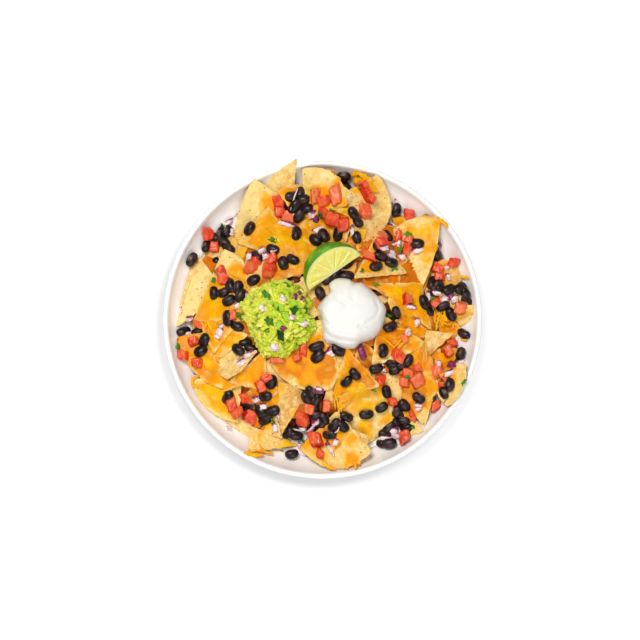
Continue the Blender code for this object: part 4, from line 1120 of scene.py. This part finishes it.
def tomato_look():
    """Diced tomato: wet orange-red flesh, paler inside, with deep red skin on one side."""
    look = Look("tomato", 0.28, 0.4, 0.4, (1.0, 0.3, 0.15), 0.003, 0.15)
    flesh = look.over(paint(0.89, 0.25, 0.11), (0.95, 0.42, 0.23), look.noise(5.5), 0.38, 0.64)
    pale = look.add(look.mark("shade"), look.times(look.noise(2.5, 2.0), 0.4))
    flesh = look.over(flesh, (0.98, 0.58, 0.36), pale, 0.7, 1.2, 0.6)
    base = look.over(flesh, (0.78, 0.12, 0.04), look.mark("top"), 0.2, 0.02)
    look.bump(look.noise(1.6), 0.3)
    return look.colour(base)


def onion_look():
    """Diced red onion: white and glassy, with purple between its layers and purple skin on one side."""
    look = Look("red_onion", 0.25, 0.45, 0.25, (0.8, 0.6, 0.7), 0.0015, 0.1)
    base = look.over(paint(0.97, 0.93, 0.90), (0.93, 0.81, 0.83), look.noise(3.0, 2.0), 0.35, 0.7)
    skin = look.swayed(look.mark("skin"), look.noise(3.5, 2.0), 0.6)
    line = look.math("SINE", look.times(skin, 10.0), 0.0)
    base = look.over(base, (0.78, 0.50, 0.66), line, 0.4, 1.0, 0.6)
    base = look.over(base, (0.56, 0.17, 0.38), skin, 0.66, 0.9)
    base = look.over(base, (0.52, 0.16, 0.36), look.mark("purple"), 0.4, 1.0)
    return look.colour(base)


def leaf_look():
    """Chopped coriander leaf."""
    look = Look("coriander", 0.4, 0.25, 0.1, (0.4, 1.0, 0.2), 0.001)
    base = look.mix(look.noise(2.5), paint(0.16, 0.44, 0.05), paint(0.40, 0.66, 0.14))
    return look.colour(look.mix(look.mark("dark"), base, paint(0.03, 0.22, 0.02)))


def core_look():
    """What shows in the gaps between chips: cheese, coloured dark brown as painted shade."""
    look = Look("heap_inside", 0.5, 0.15)
    # Dark orange-brown to near black: painted shade of the deep gaps in the heap
    base = look.over(paint(0.44, 0.20, 0.03), (0.18, 0.07, 0.02), look.noise(7.0), 0.4, 0.6)
    look.bump(look.noise(4.0, 4.0), 1.0)
    return look.colour(base)


def guacamole_look():
    """Mashed avocado: yellow-green, greener crumb by crumb, with a painted highlight on the raised crumbs
    and painted shade in the cracks between them.
    """
    look = Look("guacamole", 0.32, 0.35, 0.3, (0.7, 0.8, 0.15), 0.002)
    # The tint mark holds each crumb's greenness, plus painted shade that grows towards +X, the side away
    # from the light
    green = look.add(look.mark("tint"), look.times(look.noise(4.0, 4.0, 0.6), 0.6))
    base = look.over(paint(0.93, 0.94, 0.35), (0.85, 0.90, 0.21), green, 0.9, 1.5)
    base = look.over(base, (0.66, 0.85, 0.18), green, 1.5, 2.1)
    # Paler where the surface was pushed out: a painted highlight on the raised crumbs
    base = look.over(base, (0.97, 0.96, 0.49), look.mark("hollow"), 0.6, 2.0)
    # Darker where it was pushed in: painted shade in the cracks
    base = look.over(base, (0.52, 0.60, 0.05), look.mark("hollow"), -0.9, -2.8)
    look.bump(look.add(look.noise(2.0, 4.0, 0.65), look.noise(5.0, 2.0)), 1.0)
    return look.colour(base)


def cream_look():
    """Sour cream: white, smooth and slightly glossy."""
    look = Look("sour_cream", 0.32, 0.3, 0.7, (1.0, 0.97, 0.93), 0.014)
    base = look.over(paint(0.955, 0.95, 0.935), (0.94, 0.937, 0.92), look.noise(14.0, 2.0), 0.4, 0.7)
    look.bump(look.noise(7.0, 2.0), 0.4)
    return look.colour(base)


def lime_look():
    """A cut lime: green zest, a pale line of pith, and wet flesh in segments."""
    look = Look("lime", 0.3, 0.35, 0.2, (0.6, 0.8, 0.1), 0.002, 0.2)
    zest = look.over(paint(0.22, 0.57, 0.0), (0.50, 0.78, 0.0), look.noise(16.0), 0.35, 0.7)
    flesh = look.over(paint(0.97, 0.92, 0.40), (0.99, 0.96, 0.55), look.noise(2.4, 3.0, 0.6), 0.35, 0.7)
    flesh = look.mix(look.times(look.mark("membrane"), 0.7), flesh, paint(0.99, 0.98, 0.82))
    face = look.over(flesh, (0.96, 0.93, 0.66), look.mark("rim"), 0.90, 0.925)
    face = look.over(face, (0.62, 0.78, 0.10), look.mark("rim"), 0.965, 0.99)
    base = look.mix(look.mark("zest"), face, zest)
    pores = look.times(look.cells(1.5), look.mark("zest"))
    look.bump(look.add(pores, look.times(look.noise(1.2, 2.0), 0.4)), 0.3)
    return look.colour(base)


def glaze_look():
    """White glazed stoneware."""
    look = Look("white_glaze", 0.16, 0.4)
    # The glaze's pinkish tint is a painted warm reflection of the food
    base = look.over(paint(0.985, 0.955, 0.945), (0.99, 0.975, 0.965), look.noise(40.0, 2.0), 0.3, 0.7)
    # Pure white on the lip: a painted highlight on the lip's crown
    base = look.mix(look.mark("lip"), base, paint(1.0, 1.0, 1.0))
    look.bump(look.noise(18.0, 2.0), 0.05)
    return look.colour(base)


# The pieces

def lay_heap():
    """Lays the chips one by one. Returns the surface with every warp and blister, and the named chips."""
    surface, seen = Surface(), Surface()
    chips = []

    def lay(name, chip):
        chips.append((name, chip))
        seen.raise_to(chip)

    for k, (name, corners, bows, lifts) in enumerate(CHIPS):
        for later, deep_name, deep_corners in DEEP_CHIPS:
            if later == name:
                kept = surface.z
                plane = lay_chip(surface, deep_corners, SMALL_BOW, {})
                surface.z = kept
                plane[2] -= DEEP_SINK
                lay(deep_name, Chip(2000 + 31 * len(chips), deep_corners, SMALL_BOW, plane))
        plane = lay_chip(surface, corners, bows, lifts)
        tone, curl = CHIP_TONES.get(name), CHIP_CURLS.get(name)
        lay(name, Chip(100 + 17 * k, corners, bows, plane, tone=tone, curl=curl))
    return seen, chips


def filler_chips():
    """Chips of the lowest layers, flush with the dome, that show in the gaps of the upper ones."""
    draw = random.Random(5)
    fillers = []
    for k in range(FILLERS):
        radius = FILLER_REACH * math.sqrt((k + 0.5) / FILLERS)
        angle = k * GOLDEN_TURN
        x, y = radius * math.cos(angle), radius * math.sin(angle)
        size, turn = draw.uniform(22, 30), draw.uniform(0, math.tau)
        corners = [(x + size * math.cos(turn + t), y + size * math.sin(turn + t)) for t in (0.0, 2.0, 4.1)]
        grid = [(x + i, y + j) for i in FILLER_GRID for j in FILLER_GRID]
        rows = np.array([(gx, gy, 1.0) for gx, gy in grid])
        away = np.hypot(rows[:, 0], rows[:, 1])
        heights = np.maximum(PLATE_FLOOR + CORE_HEIGHT * core_share(away), plate_surface(away) + 1.0)
        plane = np.linalg.lstsq(rows, heights, rcond=None)[0]
        plane[2] -= CHIP_THICKNESS + draw.uniform(0.5, 2.5)
        plane[:2] += either_way(draw, 0.08, 0.08)
        fillers.append(Chip(3000 + 13 * k, corners, SMALL_BOW, plane, FILLER_SIDES))
    return fillers


def chips_piece(chips, fillers, material):
    """All the tortilla chips as one mesh."""
    heap = Gather("puff", "edge", "tone")
    laid = fillers + [chip for _, chip in chips]
    for k, chip in enumerate(laid):
        points, quads, puff, edge = chip_shape(chip)
        points = above_plate(tucked(points, laid[k + 1:]))
        heap.add(points, quads, puff=puff, edge=edge, tone=chip.tone)
    heap.build("tortilla_chips", material, ("nacho_heap",))


def shreds(surface, draw):
    """Short strips of cheese, strewn in their patches: the points and quads of each."""
    for x, y, across, up, count in SHRED_PATCHES:
        for _ in range(count):
            turn, far = draw.uniform(0, math.tau), draw.uniform(0, 1) ** 0.5
            px, py = x + across * far * math.cos(turn), y + up * far * math.sin(turn)
            heading, length = draw.uniform(0, math.tau), draw.uniform(4.0, 8.0)
            bend = draw.uniform(-0.5, 0.5)
            path = []
            for s in (-1.0, -0.4, 0.2, 1.0):
                angle = heading + s * bend
                path.append((px + s * length * math.cos(angle), py + s * length * math.sin(angle)))
            yield tube_shape(path, draw.uniform(1.5, 2.4), surface, draw.uniform(1.0, 2.2), 0.5)


def cheese_piece(chips, fillers, surface, material):
    """The melted cheese: a film on each chip, melts over several, and the strings, shreds and drips."""
    heap = Gather("thick", "tone")
    draw = random.Random(6)
    laid = [chip for _, chip in chips]
    for k, (name, chip) in enumerate(chips):
        if name in CHEESE:
            tone, bare, pools = CHEESE[name]
            points, quads, thick = film_shape(chip, bare, pools)
            heap.add(above_plate(tucked(points, laid[k + 1:])), quads, thick=thick, tone=tone)
    for k, (tone, outline) in enumerate(MELTS):
        points, quads, thick, rim = melt_shape(surface, outline, 700 + 11 * k)
        heap.add(above_plate(points), quads, thick=thick, tone=tone)
        surface.fill(surface.under(rim), surface.draped() + 1.0)
    for width, path in STRANDS:
        points, quads = tube_shape(path, width, surface, 2.2, 0.45)
        heap.add(above_plate(points), quads, thick=5.0, tone=0.25)
    for points, quads in shreds(surface, draw):
        heap.add(above_plate(points), quads, thick=4.0, tone=draw.uniform(0.1, 0.6))
    for filler in fillers:
        if draw.random() < 0.7:
            points, quads, thick = film_shape(filler, 0.0, ())
            # Tone 1.4 paints the fillers' cheese dark brown: painted shade deep in the gaps
            heap.add(above_plate(tucked(points, laid)), quads, thick=thick, tone=1.4)
    heap.build("melted_cheese", material, ("nacho_heap",))


def nodes_of(kind):
    """The nodes that the pieces of one topping stand for."""
    return ["nacho_heap"] + [name for name in LOOSE if name.startswith(kind)]


def loose(kind):
    """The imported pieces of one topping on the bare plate: the middle, turn, size and slope of each."""
    for name, (turn, length, width) in LOOSE.items():
        if name.startswith(kind):
            low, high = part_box(name)
            middle = (np.array(low) + np.array(high)) / 2 / MM
            radius = math.hypot(middle[0], middle[1])
            climb = plate_surface(radius + LOOSE_REACH) - plate_surface(radius - LOOSE_REACH)
            slope = tuple(float(climb) / (2 * LOOSE_REACH) * middle[:2] / radius)
            yield middle, turn, (length, width), slope


def beans_piece(surface, material):
    """The black beans."""
    heap = Gather("eye")
    draw = random.Random(21)
    for x, y, turn in DEEP_BEANS + BEANS:
        points, quads, eye = bean_shape(draw)
        height = BEAN[2] / 2 - TOPPING_SINK
        lean = either_way(draw, 0.5, 0.12)
        points, seat = resting(surface, points, (x, y), height, (4.0, 7.0), lean, turn)
        heap.add(points, quads, eye=eye)
        surface.fill(surface.near(x, y, 3.2), seat - TOPPING_SINK + 0.6 * BEAN[2])
    for middle, turn, _, slope in loose("bean"):
        points, quads, eye = bean_shape(draw)
        heap.add(above_plate(placed(points, middle, (0.3, 0.0), turn, slope)), quads, eye=eye)
    heap.build("black_beans", material, nodes_of("bean"))


def tomatoes_piece(surface, material):
    """The diced tomato."""
    heap = Gather("top", "shade")
    draw = random.Random(22)
    for x, y, length, width, turn in TOMATOES:
        size = (1.06 * length, 1.06 * width, TOMATO_HEIGHT * draw.uniform(0.75, 1.15))
        points, quads, top = block_shape(size, draw, 10, 0.7, draw.uniform(0.22, 0.42))
        height, reaches = TOMATO_HEIGHT / 2 - TOPPING_SINK, (max(length, width) / 2, 8.0)
        points, seat = resting(surface, points, (x, y), height, reaches, either_way(draw, 0.25, 0.25), turn)
        heap.add(points, quads, top=top, shade=draw.random())
        surface.fill(surface.near(x, y, 0.35 * (length + width)), seat - TOPPING_SINK + 0.7 * TOMATO_HEIGHT)
    for middle, turn, size, slope in loose("tomato"):
        points, quads, top = block_shape((*size, TOMATO_HEIGHT), draw, 8, 0.7, 0.3)
        heap.add(above_plate(placed(points, middle, (0.05, 0.05), turn, slope)), quads, top=top, shade=0.2)
    heap.build("diced_tomato", material, nodes_of("tomato"))


def onions_piece(surface, material):
    """The diced and slivered onion."""
    heap = Gather("skin", "purple")
    draw = random.Random(23)
    for x, y, length, width, turn in ONIONS + ONION_BITS:
        points, quads, skin = onion_shape((length, width, ONION_HEIGHT * draw.uniform(0.8, 1.3)), draw)
        height = ONION_HEIGHT / 2 - ONION_SINK
        points, _ = resting(surface, points, (x, y), height, (4.0, 7.0), either_way(draw, 0.35, 0.25), turn)
        heap.add(points, quads, skin=skin, purple=1.0 if draw.random() < 0.14 else 0.0)
    for width, path in ONION_SLIVERS:
        points, quads = tube_shape(path, width, surface, 4.0, 0.8)
        heap.add(points, quads, skin=0.3, purple=0.0)
    for middle, turn, size, slope in loose("onion"):
        points, quads, skin = onion_shape((*size, ONION_HEIGHT), draw)
        heap.add(above_plate(placed(points, middle, (0.0, 0.0), turn, slope)), quads, skin=skin, purple=1.0)
    heap.build("diced_onion", material, nodes_of("onion"))


def leaves_piece(surface, material):
    """The chopped coriander."""
    heap = Gather("dark")
    draw = random.Random(24)
    for x, y in CILANTRO:
        points, quads = leaf_shape(draw.uniform(2.4, 4.0), draw)
        height, lean = draw.uniform(0.5, 1.6), either_way(draw, 0.5, 0.5)
        dark = draw.choice((0.0, 0.0, 0.3, 0.8))
        points, _ = resting(surface, points, (x, y), height, (2.5, 6.0), lean, draw.uniform(0, 360))
        heap.add(points, quads, dark=dark)
    heap.build("coriander_leaves", material, ("nacho_heap",))


def core_piece(material):
    """The dome under the chips, a little lower than its solid."""
    heap = Gather()
    shares = np.array((1.0, 0.96, 0.9, 0.8, 0.7, 0.58, 0.45, 0.3, 0.15))
    turns = np.arange(72) * math.tau / 72
    reach = CORE_RADIUS - 6.0
    radius = reach * shares
    x = np.outer(radius, np.cos(turns))
    y = np.outer(radius, np.sin(turns))
    z = PLATE_FLOOR + 0.3 + (CORE_HEIGHT - 4.0) * core_share(np.hypot(x, y) * CORE_RADIUS / reach)
    z = z + 0.8 * waves(x, y, 12.0, 8) * (shares[:, None] < 0.97)
    rows = np.concatenate((stacked(x[:1], y[:1], PLATE_FLOOR + PLATE_GAP), stacked(x, y, z + 0.1)))
    heap.add(*closed(rows, (0, 0, PLATE_FLOOR + PLATE_GAP), (0, 0, float(z[-1].mean()))))
    heap.build("heap_core", material, ("nacho_heap",))


def smooth_outline(corners, count):
    """A closed curve through the corners, read at evenly spaced turns of its parameter."""
    corners = np.array(corners, float)
    n = len(corners)
    at = np.arange(count) * n / count
    k = at.astype(int)
    t = (at - k)[:, None]
    return curve_between(*(corners[(k + shift) % n] for shift in (-1, 0, 1, 2)), t)


def mound(outline, base, height, count, rings, side=0.75, top=0.85):
    """Rings of points over a heaped spoonful, steep at the sides and round on top, and its middle."""
    loop = smooth_outline(outline, count)
    middle = np.mean(outline, axis=0)
    climb = np.linspace(0, 1, rings, endpoint=False) * math.pi / 2
    share = np.cos(climb) ** side
    rise = np.sin(climb) ** top
    x = middle[0] + np.outer(share, loop[:, 0] - middle[0])
    y = middle[1] + np.outer(share, loop[:, 1] - middle[1])
    return stacked(x, y, base + height * rise[:, None]), middle


def guacamole_piece(material):
    """The scoop of guacamole: coarse mash, in which each crumb stands a little apart from the next."""
    noise.seed_set(GUACAMOLE_SEED)
    sides, rings = 400, 110
    top = GUACAMOLE_HEIGHT - 3.0
    rows, middle = mound(GUACAMOLE_OUTLINE, GUACAMOLE_BASE, top, sides, rings)
    centre = Vector((*middle, GUACAMOLE_BASE + 6.0))
    flat = rows.reshape(-1, 3)
    hollow = np.zeros(len(flat))
    tint = np.zeros(len(flat))
    for k, spot in enumerate(flat):
        here = Vector(spot)
        bent = here + noise.noise_vector(here / 2.2) * 1.1
        shift = noise.noise(here / 8.0) * 2.2
        for size, step, crack in ((6.2, 2.5, 1.1), (2.9, 1.3, 0.5)):
            apart, cells = noise.voronoi(bent / size)
            shift += step * noise.noise(cells[0] * 2.3)
            shift -= crack * math.exp(-((apart[1] - apart[0]) / 0.16) ** 2)
            tint[k] += 0.5 + 0.5 * noise.noise(cells[0] * 3.1 + Vector((7.0, 3.0, 5.0)))
        # Greener and darker towards +X: painted shade on the side away from the light
        tint[k] += 0.014 * (here.x - middle[0])
        shift += noise.noise(here / 1.3) * 0.35
        low = max(0.0, (GUACAMOLE_BASE + 3.0 - here.z) / 3.0)
        out = (here - centre).normalized()
        flat[k] = here + out * shift * (1.0 - 0.8 * low)
        # The hollow mark keeps how far the point was pushed out; the guacamole look paints highlight and
        # shade from it
        hollow[k] = shift
    heap = Gather("hollow", "tint")
    points, quads = closed(rows, (*middle, GUACAMOLE_BASE), (*middle, GUACAMOLE_BASE + top))
    heap.add(points, quads, hollow=np.append(hollow, (0, 0)), tint=np.append(tint, (0.5, 0.5)))
    draw = random.Random(31)
    for _ in range(44):
        spot = rows[int(rings * draw.uniform(0.12, 0.92)), draw.randrange(sides)]
        size = (draw.uniform(3.0, 7.0), draw.uniform(2.0, 5.0), draw.uniform(1.4, 2.6))
        points, quads, _ = block_shape(size, draw, 6, 1.6, 0.4)
        lean = either_way(draw, 0.9, 0.9)
        heap.add(placed(points, spot, lean, draw.uniform(0, 360)), quads, hollow=draw.uniform(0.0, 2.0),
                 tint=draw.uniform(0.2, 2.0))
    for x, y, length, width in GREEN_LUMPS:
        away = np.hypot(rows[..., 0] - x, rows[..., 1] - y)
        spot = rows.reshape(-1, 3)[int(away.argmin())] + np.array((0.0, 0.0, 0.6))
        points, quads, _ = block_shape((length, width, 3.6), draw, 8, 1.0, 0.5)
        lean = either_way(draw, 0.3, 0.3)
        heap.add(placed(points, spot, lean, draw.uniform(0, 360)), quads, hollow=0.0, tint=2.1)
    heap.build("guacamole_scoop", material, ("guacamole",))


def guacamole_bits(onion, leaf):
    """The onion and coriander mixed into the guacamole, on the scoop's surface."""
    rows, _ = mound(GUACAMOLE_OUTLINE, GUACAMOLE_BASE, GUACAMOLE_HEIGHT - 3.0, 120, 40)
    flat = rows.reshape(-1, 3)

    def on_top(x, y):
        return flat[np.argmin(np.hypot(flat[:, 0] - x, flat[:, 1] - y))]

    draw = random.Random(33)
    onions = Gather("skin", "purple")
    for spots, tint in ((WHITE_BITS, 0.0), (PURPLE_BITS, 1.0)):
        for x, y, length, width in spots:
            points, quads, skin = onion_shape((length, width, 3.0), draw)
            spot = on_top(x, y) + np.array((0, 0, 1.2))
            lean = either_way(draw, 0.3, 0.3)
            onions.add(placed(points, spot, lean, draw.uniform(0, 180)), quads, skin=skin * 0.6, purple=tint)
    onions.build("guacamole_onion", onion, ())
    leaves = Gather("dark")
    for x, y, size, dark in GUACAMOLE_LEAVES:
        points, quads = leaf_shape(size, draw)
        spot = on_top(x, y) + np.array((0, 0, 1.4))
        leaves.add(placed(points, spot, (0.1, 0.1), draw.uniform(0, 360)), quads, dark=dark)
    leaves.build("guacamole_coriander", leaf, ())


def nearest(x, y, path):
    """The distance from each point to a path."""
    found = np.full(np.shape(x), 1e9)
    for (x1, y1), (x2, y2) in zip(path, path[1:]):
        along = np.array((x2 - x1, y2 - y1))
        share = np.clip(((x - x1) * along[0] + (y - y1) * along[1]) / float(along @ along), 0, 1)
        found = np.minimum(found, np.hypot(x - x1 - share * along[0], y - y1 - share * along[1]))
    return found


def cream_piece(material):
    """The dollop of sour cream: lobed below, round and nearly flat on top, with creases from the spoon."""
    rows, middle = mound(CREAM_OUTLINE, CREAM_BASE, CREAM_HEIGHT, 240, 70, 0.5, 0.8)
    spread = rows[:, :, :2] - middle
    reach = np.hypot(spread[..., 0], spread[..., 1])
    climb = (rows[:, :, 2] - CREAM_BASE) / CREAM_HEIGHT
    even = reach.mean(axis=1, keepdims=True) / np.maximum(reach, 1e-6)
    even = 1.0 + (even - 1.0) * np.clip((climb - 0.5) / 0.5, 0, 1) ** 1.5
    x = middle[0] + spread[..., 0] * even
    y = middle[1] + spread[..., 1] * even
    sag = 0.5 * waves(x, y, 24.0, 77) * climb
    for depth, width, path in CREAM_CREASES:
        away = nearest(x, y, path)
        bank = 0.4 * depth * np.exp(-((away - 2 * width) / width) ** 2)
        sag = sag - depth * np.exp(-(away / width) ** 2) + bank
    rows = stacked(x, y, rows[:, :, 2] + sag * np.clip(climb * 2, 0, 1))
    heap = Gather()
    heap.add(*closed(rows, (*middle, CREAM_BASE), (*middle, rows[-1, :, 2].mean())))
    heap.build("sour_cream_dollop", material, ("sour_cream",))


def lime_piece(material):
    """The lime wedge: its two cut faces with their segments, and the rind between them."""
    sides, depth, slices = 96, 26, 22
    around = np.linspace(0, math.pi, sides + 1)
    rim = np.linspace(0, 1, depth + 1)
    heap = Gather("rim", "zest", "membrane")
    spokes = np.radians((14, 41, 66, 92, 119, 147, 168))

    def face(turn, outward):
        q, phi = np.meshgrid(rim, around, indexing="ij")
        along = -LIME_HALF_LENGTH * q * np.cos(phi)
        far = LIME_RADIUS * q * np.sin(phi)
        gap = np.min(np.abs(phi[..., None] - spokes) * (q[..., None] * LIME_RADIUS), axis=-1)
        membrane = np.exp(-(gap / 0.42) ** 2) + np.exp(-(far / 0.7) ** 2) * (q < 0.9)
        puff = 0.6 * np.clip(gap / 3.0, 0, 1) * (q < 0.88) * np.clip(far / 2.0, 0, 1)
        puff = puff + 0.12 * np.sin(phi * 160) * (q < 0.88) * np.clip(far / 4.0, 0, 1)
        y = far * math.cos(turn) - outward * puff * math.sin(turn)
        z = far * math.sin(turn) + outward * puff * math.cos(turn)
        points = stacked(along, y, z).reshape(-1, 3)
        quads = grid_quads(depth + 1, sides + 1, outward < 0)
        return points, quads, q.ravel(), np.clip(membrane, 0, 1).ravel()

    def grid_quads(rows, columns, flip):
        i, j = np.meshgrid(np.arange(rows - 1), np.arange(columns - 1), indexing="ij")
        first = (i * columns + j).ravel()
        quads = np.column_stack((first, first + 1, first + columns + 1, first + columns))
        return quads[:, ::-1] if flip else quads

    turn_low = LIME_FACE_RISE - LIME_WEDGE_ANGLE
    parts = []
    for turn, outward in ((LIME_FACE_RISE, 1.0), (turn_low, -1.0)):
        points, quads, q, membrane = face(turn, outward)
        parts.append((points, quads, q, np.zeros(len(q)), membrane))
    turns = np.linspace(LIME_FACE_RISE, turn_low, slices + 1)
    t, phi = np.meshgrid(turns, around, indexing="ij")
    bulge = 1.0 + 0.006 * np.sin(t * 9) * np.sin(phi)
    points = stacked(-LIME_HALF_LENGTH * np.cos(phi) * bulge, LIME_RADIUS * np.sin(phi) * np.cos(t),
                     LIME_RADIUS * np.sin(phi) * np.sin(t)).reshape(-1, 3)
    rind, bare = np.ones(len(points)), np.zeros(len(points))
    parts.append((points, grid_quads(slices + 1, sides + 1, False), rind, rind, bare))
    (x1, y1), (x2, y2) = LIME_TIPS
    place = ((x1 + x2) / 2, (y1 + y2) / 2, LIME_AXIS_HEIGHT)
    heading = math.degrees(math.atan2(y2 - y1, x2 - x1))
    for points, quads, q, zest, membrane in parts:
        heap.add(placed(points, place, (0, 0), heading), quads, rim=q, zest=zest, membrane=membrane)
    made = heap.build("lime", material, ("lime_wedge",))
    body = bmesh.new()
    body.from_mesh(made.data)
    bmesh.ops.remove_doubles(body, verts=body.verts, dist=0.00002)
    bmesh.ops.recalc_face_normals(body, faces=body.faces)
    body.to_mesh(made.data)
    body.free()
    made.data.set_sharp_from_angle(angle=math.radians(38))


def plate_piece(material):
    """The plate as a smooth turned body."""
    edge = (PLATE_RADIUS, PLATE_HEIGHT - 2.0)
    lip = ((LIP_CROWN, PLATE_HEIGHT), (PLATE_RADIUS - 0.7, PLATE_HEIGHT - 0.5), edge)
    inside = smooth_profile(PLATE_INSIDE + lip)
    outside = smooth_profile((edge,) + PLATE_OUTSIDE)
    profile = np.concatenate((inside[1:], outside[1:], PLATE_FOOT))
    turns = np.arange(PLATE_SEGMENTS) * math.tau / PLATE_SEGMENTS
    radius = profile[:, 0]
    rows = stacked(np.outer(radius, np.cos(turns)), np.outer(radius, np.sin(turns)), profile[:, 1:])
    heap = Gather("lip")
    points, quads = closed(rows, (0, 0, PLATE_FLOOR), (0, 0, 2.2))
    # The lip mark is 1 on the lip, where the glaze look paints a highlight in pure white
    lip = np.clip((np.hypot(points[:, 0], points[:, 1]) - PLATE_RADIUS + LIP_WIDTH + 1.5) / 2.0, 0, 1)
    heap.add(points, quads[:, ::-1], lip=lip)
    heap.build("white_plate", material, ("plate",))


def smooth_profile(corners):
    """A curve through the corners of a profile, with its ends kept."""
    corners = np.array(corners, float)
    n = len(corners)
    at = np.linspace(0, n - 1, (n - 1) * PROFILE_STEPS + 1)
    k = np.minimum(at.astype(int), n - 2)
    t = (at - k)[:, None]
    p0, p1, p2, p3 = (corners[np.clip(k + shift, 0, n - 1)] for shift in (-1, 0, 1, 2))
    low, high = np.minimum(p1, p2), np.maximum(p1, p2)
    return np.clip(curve_between(p0, p1, p2, p3, t), low, high)


# The studio

def floor_and_light():
    """A pale floor that glows, dimmer in a painted shadow round the plate, a large soft light from the far
    side and an even fill.
    """
    world = bpy.data.worlds.new("studio")
    bpy.context.scene.world = world
    world.use_nodes = True
    background = world.node_tree.nodes["Background"]
    background.inputs["Color"].default_value = (1.0, 0.985, 0.97, 1.0)
    background.inputs["Strength"].default_value = 0.26
    bpy.ops.mesh.primitive_plane_add(size=6.0, location=(0, 0, 0))
    floor = bpy.context.object
    floor.name = "studio_floor"
    look = Look("studio_floor", 0.9, 0.0)
    look.shader.inputs["Emission Color"].default_value = (1.0, 1.0, 1.0, 1.0)
    # The floor glows less in a ring close round the plate, centred a little towards -X and -Y: a painted
    # shadow
    offset = look.node("VectorMath", {0: look.place, 1: (0.006, 0.005, 0.0)})["Vector"]
    away = look.node("VectorMath", {0: offset}, {"operation": "LENGTH"})["Value"]
    glow_with_painted_shadow = look.add(look.times(look.share(away, 0.132, 0.140), 0.22), 0.45)
    look.links.new(glow_with_painted_shadow, look.shader.inputs["Emission Strength"])
    grey = look.mix(look.noise(400.0, 1.0), paint(0.62, 0.62, 0.63), paint(0.64, 0.64, 0.65))
    floor.data.materials.append(look.colour(grey))
    floor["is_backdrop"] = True
    lights = (("key", (-0.4, 0.55, 1.7), 0.8, 22.0), ("fill", (0.3, -1.1, 1.1), 1.4, 10.5))
    for name, place, size, power in lights:
        light = bpy.data.lights.new(name, "AREA")
        light.shape = "DISK"
        light.size = size
        light.energy = power
        light.color = (1.0, 0.985, 0.96)
        lamp = bpy.data.objects.new(name, light)
        lamp.location = place
        lamp.rotation_euler = (-Vector(place)).to_track_quat("-Z", "Y").to_euler()
        bpy.context.scene.collection.objects.link(lamp)


def camera():
    """A long lens that looks almost straight down, as the photograph does."""
    photo_side = 640
    mm_per_pixel = 0.8456
    plate_centre = (322.5, 318.75)
    distance = 2200.0
    elevation = math.radians(85.0)
    aim_x = (photo_side / 2 - plate_centre[0]) * mm_per_pixel
    aim_y = (plate_centre[1] - photo_side / 2) * mm_per_pixel
    aim = Vector((aim_x, aim_y, PLATE_HEIGHT)) * MM
    lens = bpy.data.cameras.new("camera")
    lens.sensor_width = 36.0
    lens.lens = 36.0 * distance / (photo_side * mm_per_pixel)
    lens.clip_end = 20.0
    made = bpy.data.objects.new("camera", lens)
    back = Vector((0.0, -math.cos(elevation), math.sin(elevation)))
    made.location = aim + back * distance * MM
    made.rotation_euler = (-back).to_track_quat("-Z", "Y").to_euler()
    bpy.context.scene.collection.objects.link(made)
    bpy.context.scene.camera = made


def main():
    """Builds the looks, piece by piece."""
    bpy.context.scene.view_settings.view_transform = "Standard"
    surface, chips = lay_heap()
    fillers = filler_chips()
    chips_piece(chips, fillers, tortilla_look())
    core_piece(core_look())
    cheese_piece(chips, fillers, surface, cheese_look())
    beans_piece(surface, bean_look())
    tomatoes_piece(surface, tomato_look())
    onion, leaf = onion_look(), leaf_look()
    onions_piece(surface, onion)
    leaves_piece(surface, leaf)
    guacamole_piece(guacamole_look())
    guacamole_bits(onion, leaf)
    cream_piece(cream_look())
    lime_piece(lime_look())
    plate_piece(glaze_look())
    floor_and_light()
    camera()


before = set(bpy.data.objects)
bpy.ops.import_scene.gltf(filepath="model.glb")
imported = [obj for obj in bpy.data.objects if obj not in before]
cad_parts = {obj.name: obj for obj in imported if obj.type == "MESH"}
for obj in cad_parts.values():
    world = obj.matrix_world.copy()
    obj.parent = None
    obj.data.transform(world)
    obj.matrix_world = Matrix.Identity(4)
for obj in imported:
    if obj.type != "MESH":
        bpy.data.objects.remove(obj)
cad_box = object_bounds()
main()
visual_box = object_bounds()
boxes = {"cad": cad_box, "visual": visual_box}
{name: [list(corner) for corner in box] for name, box in boxes.items()}
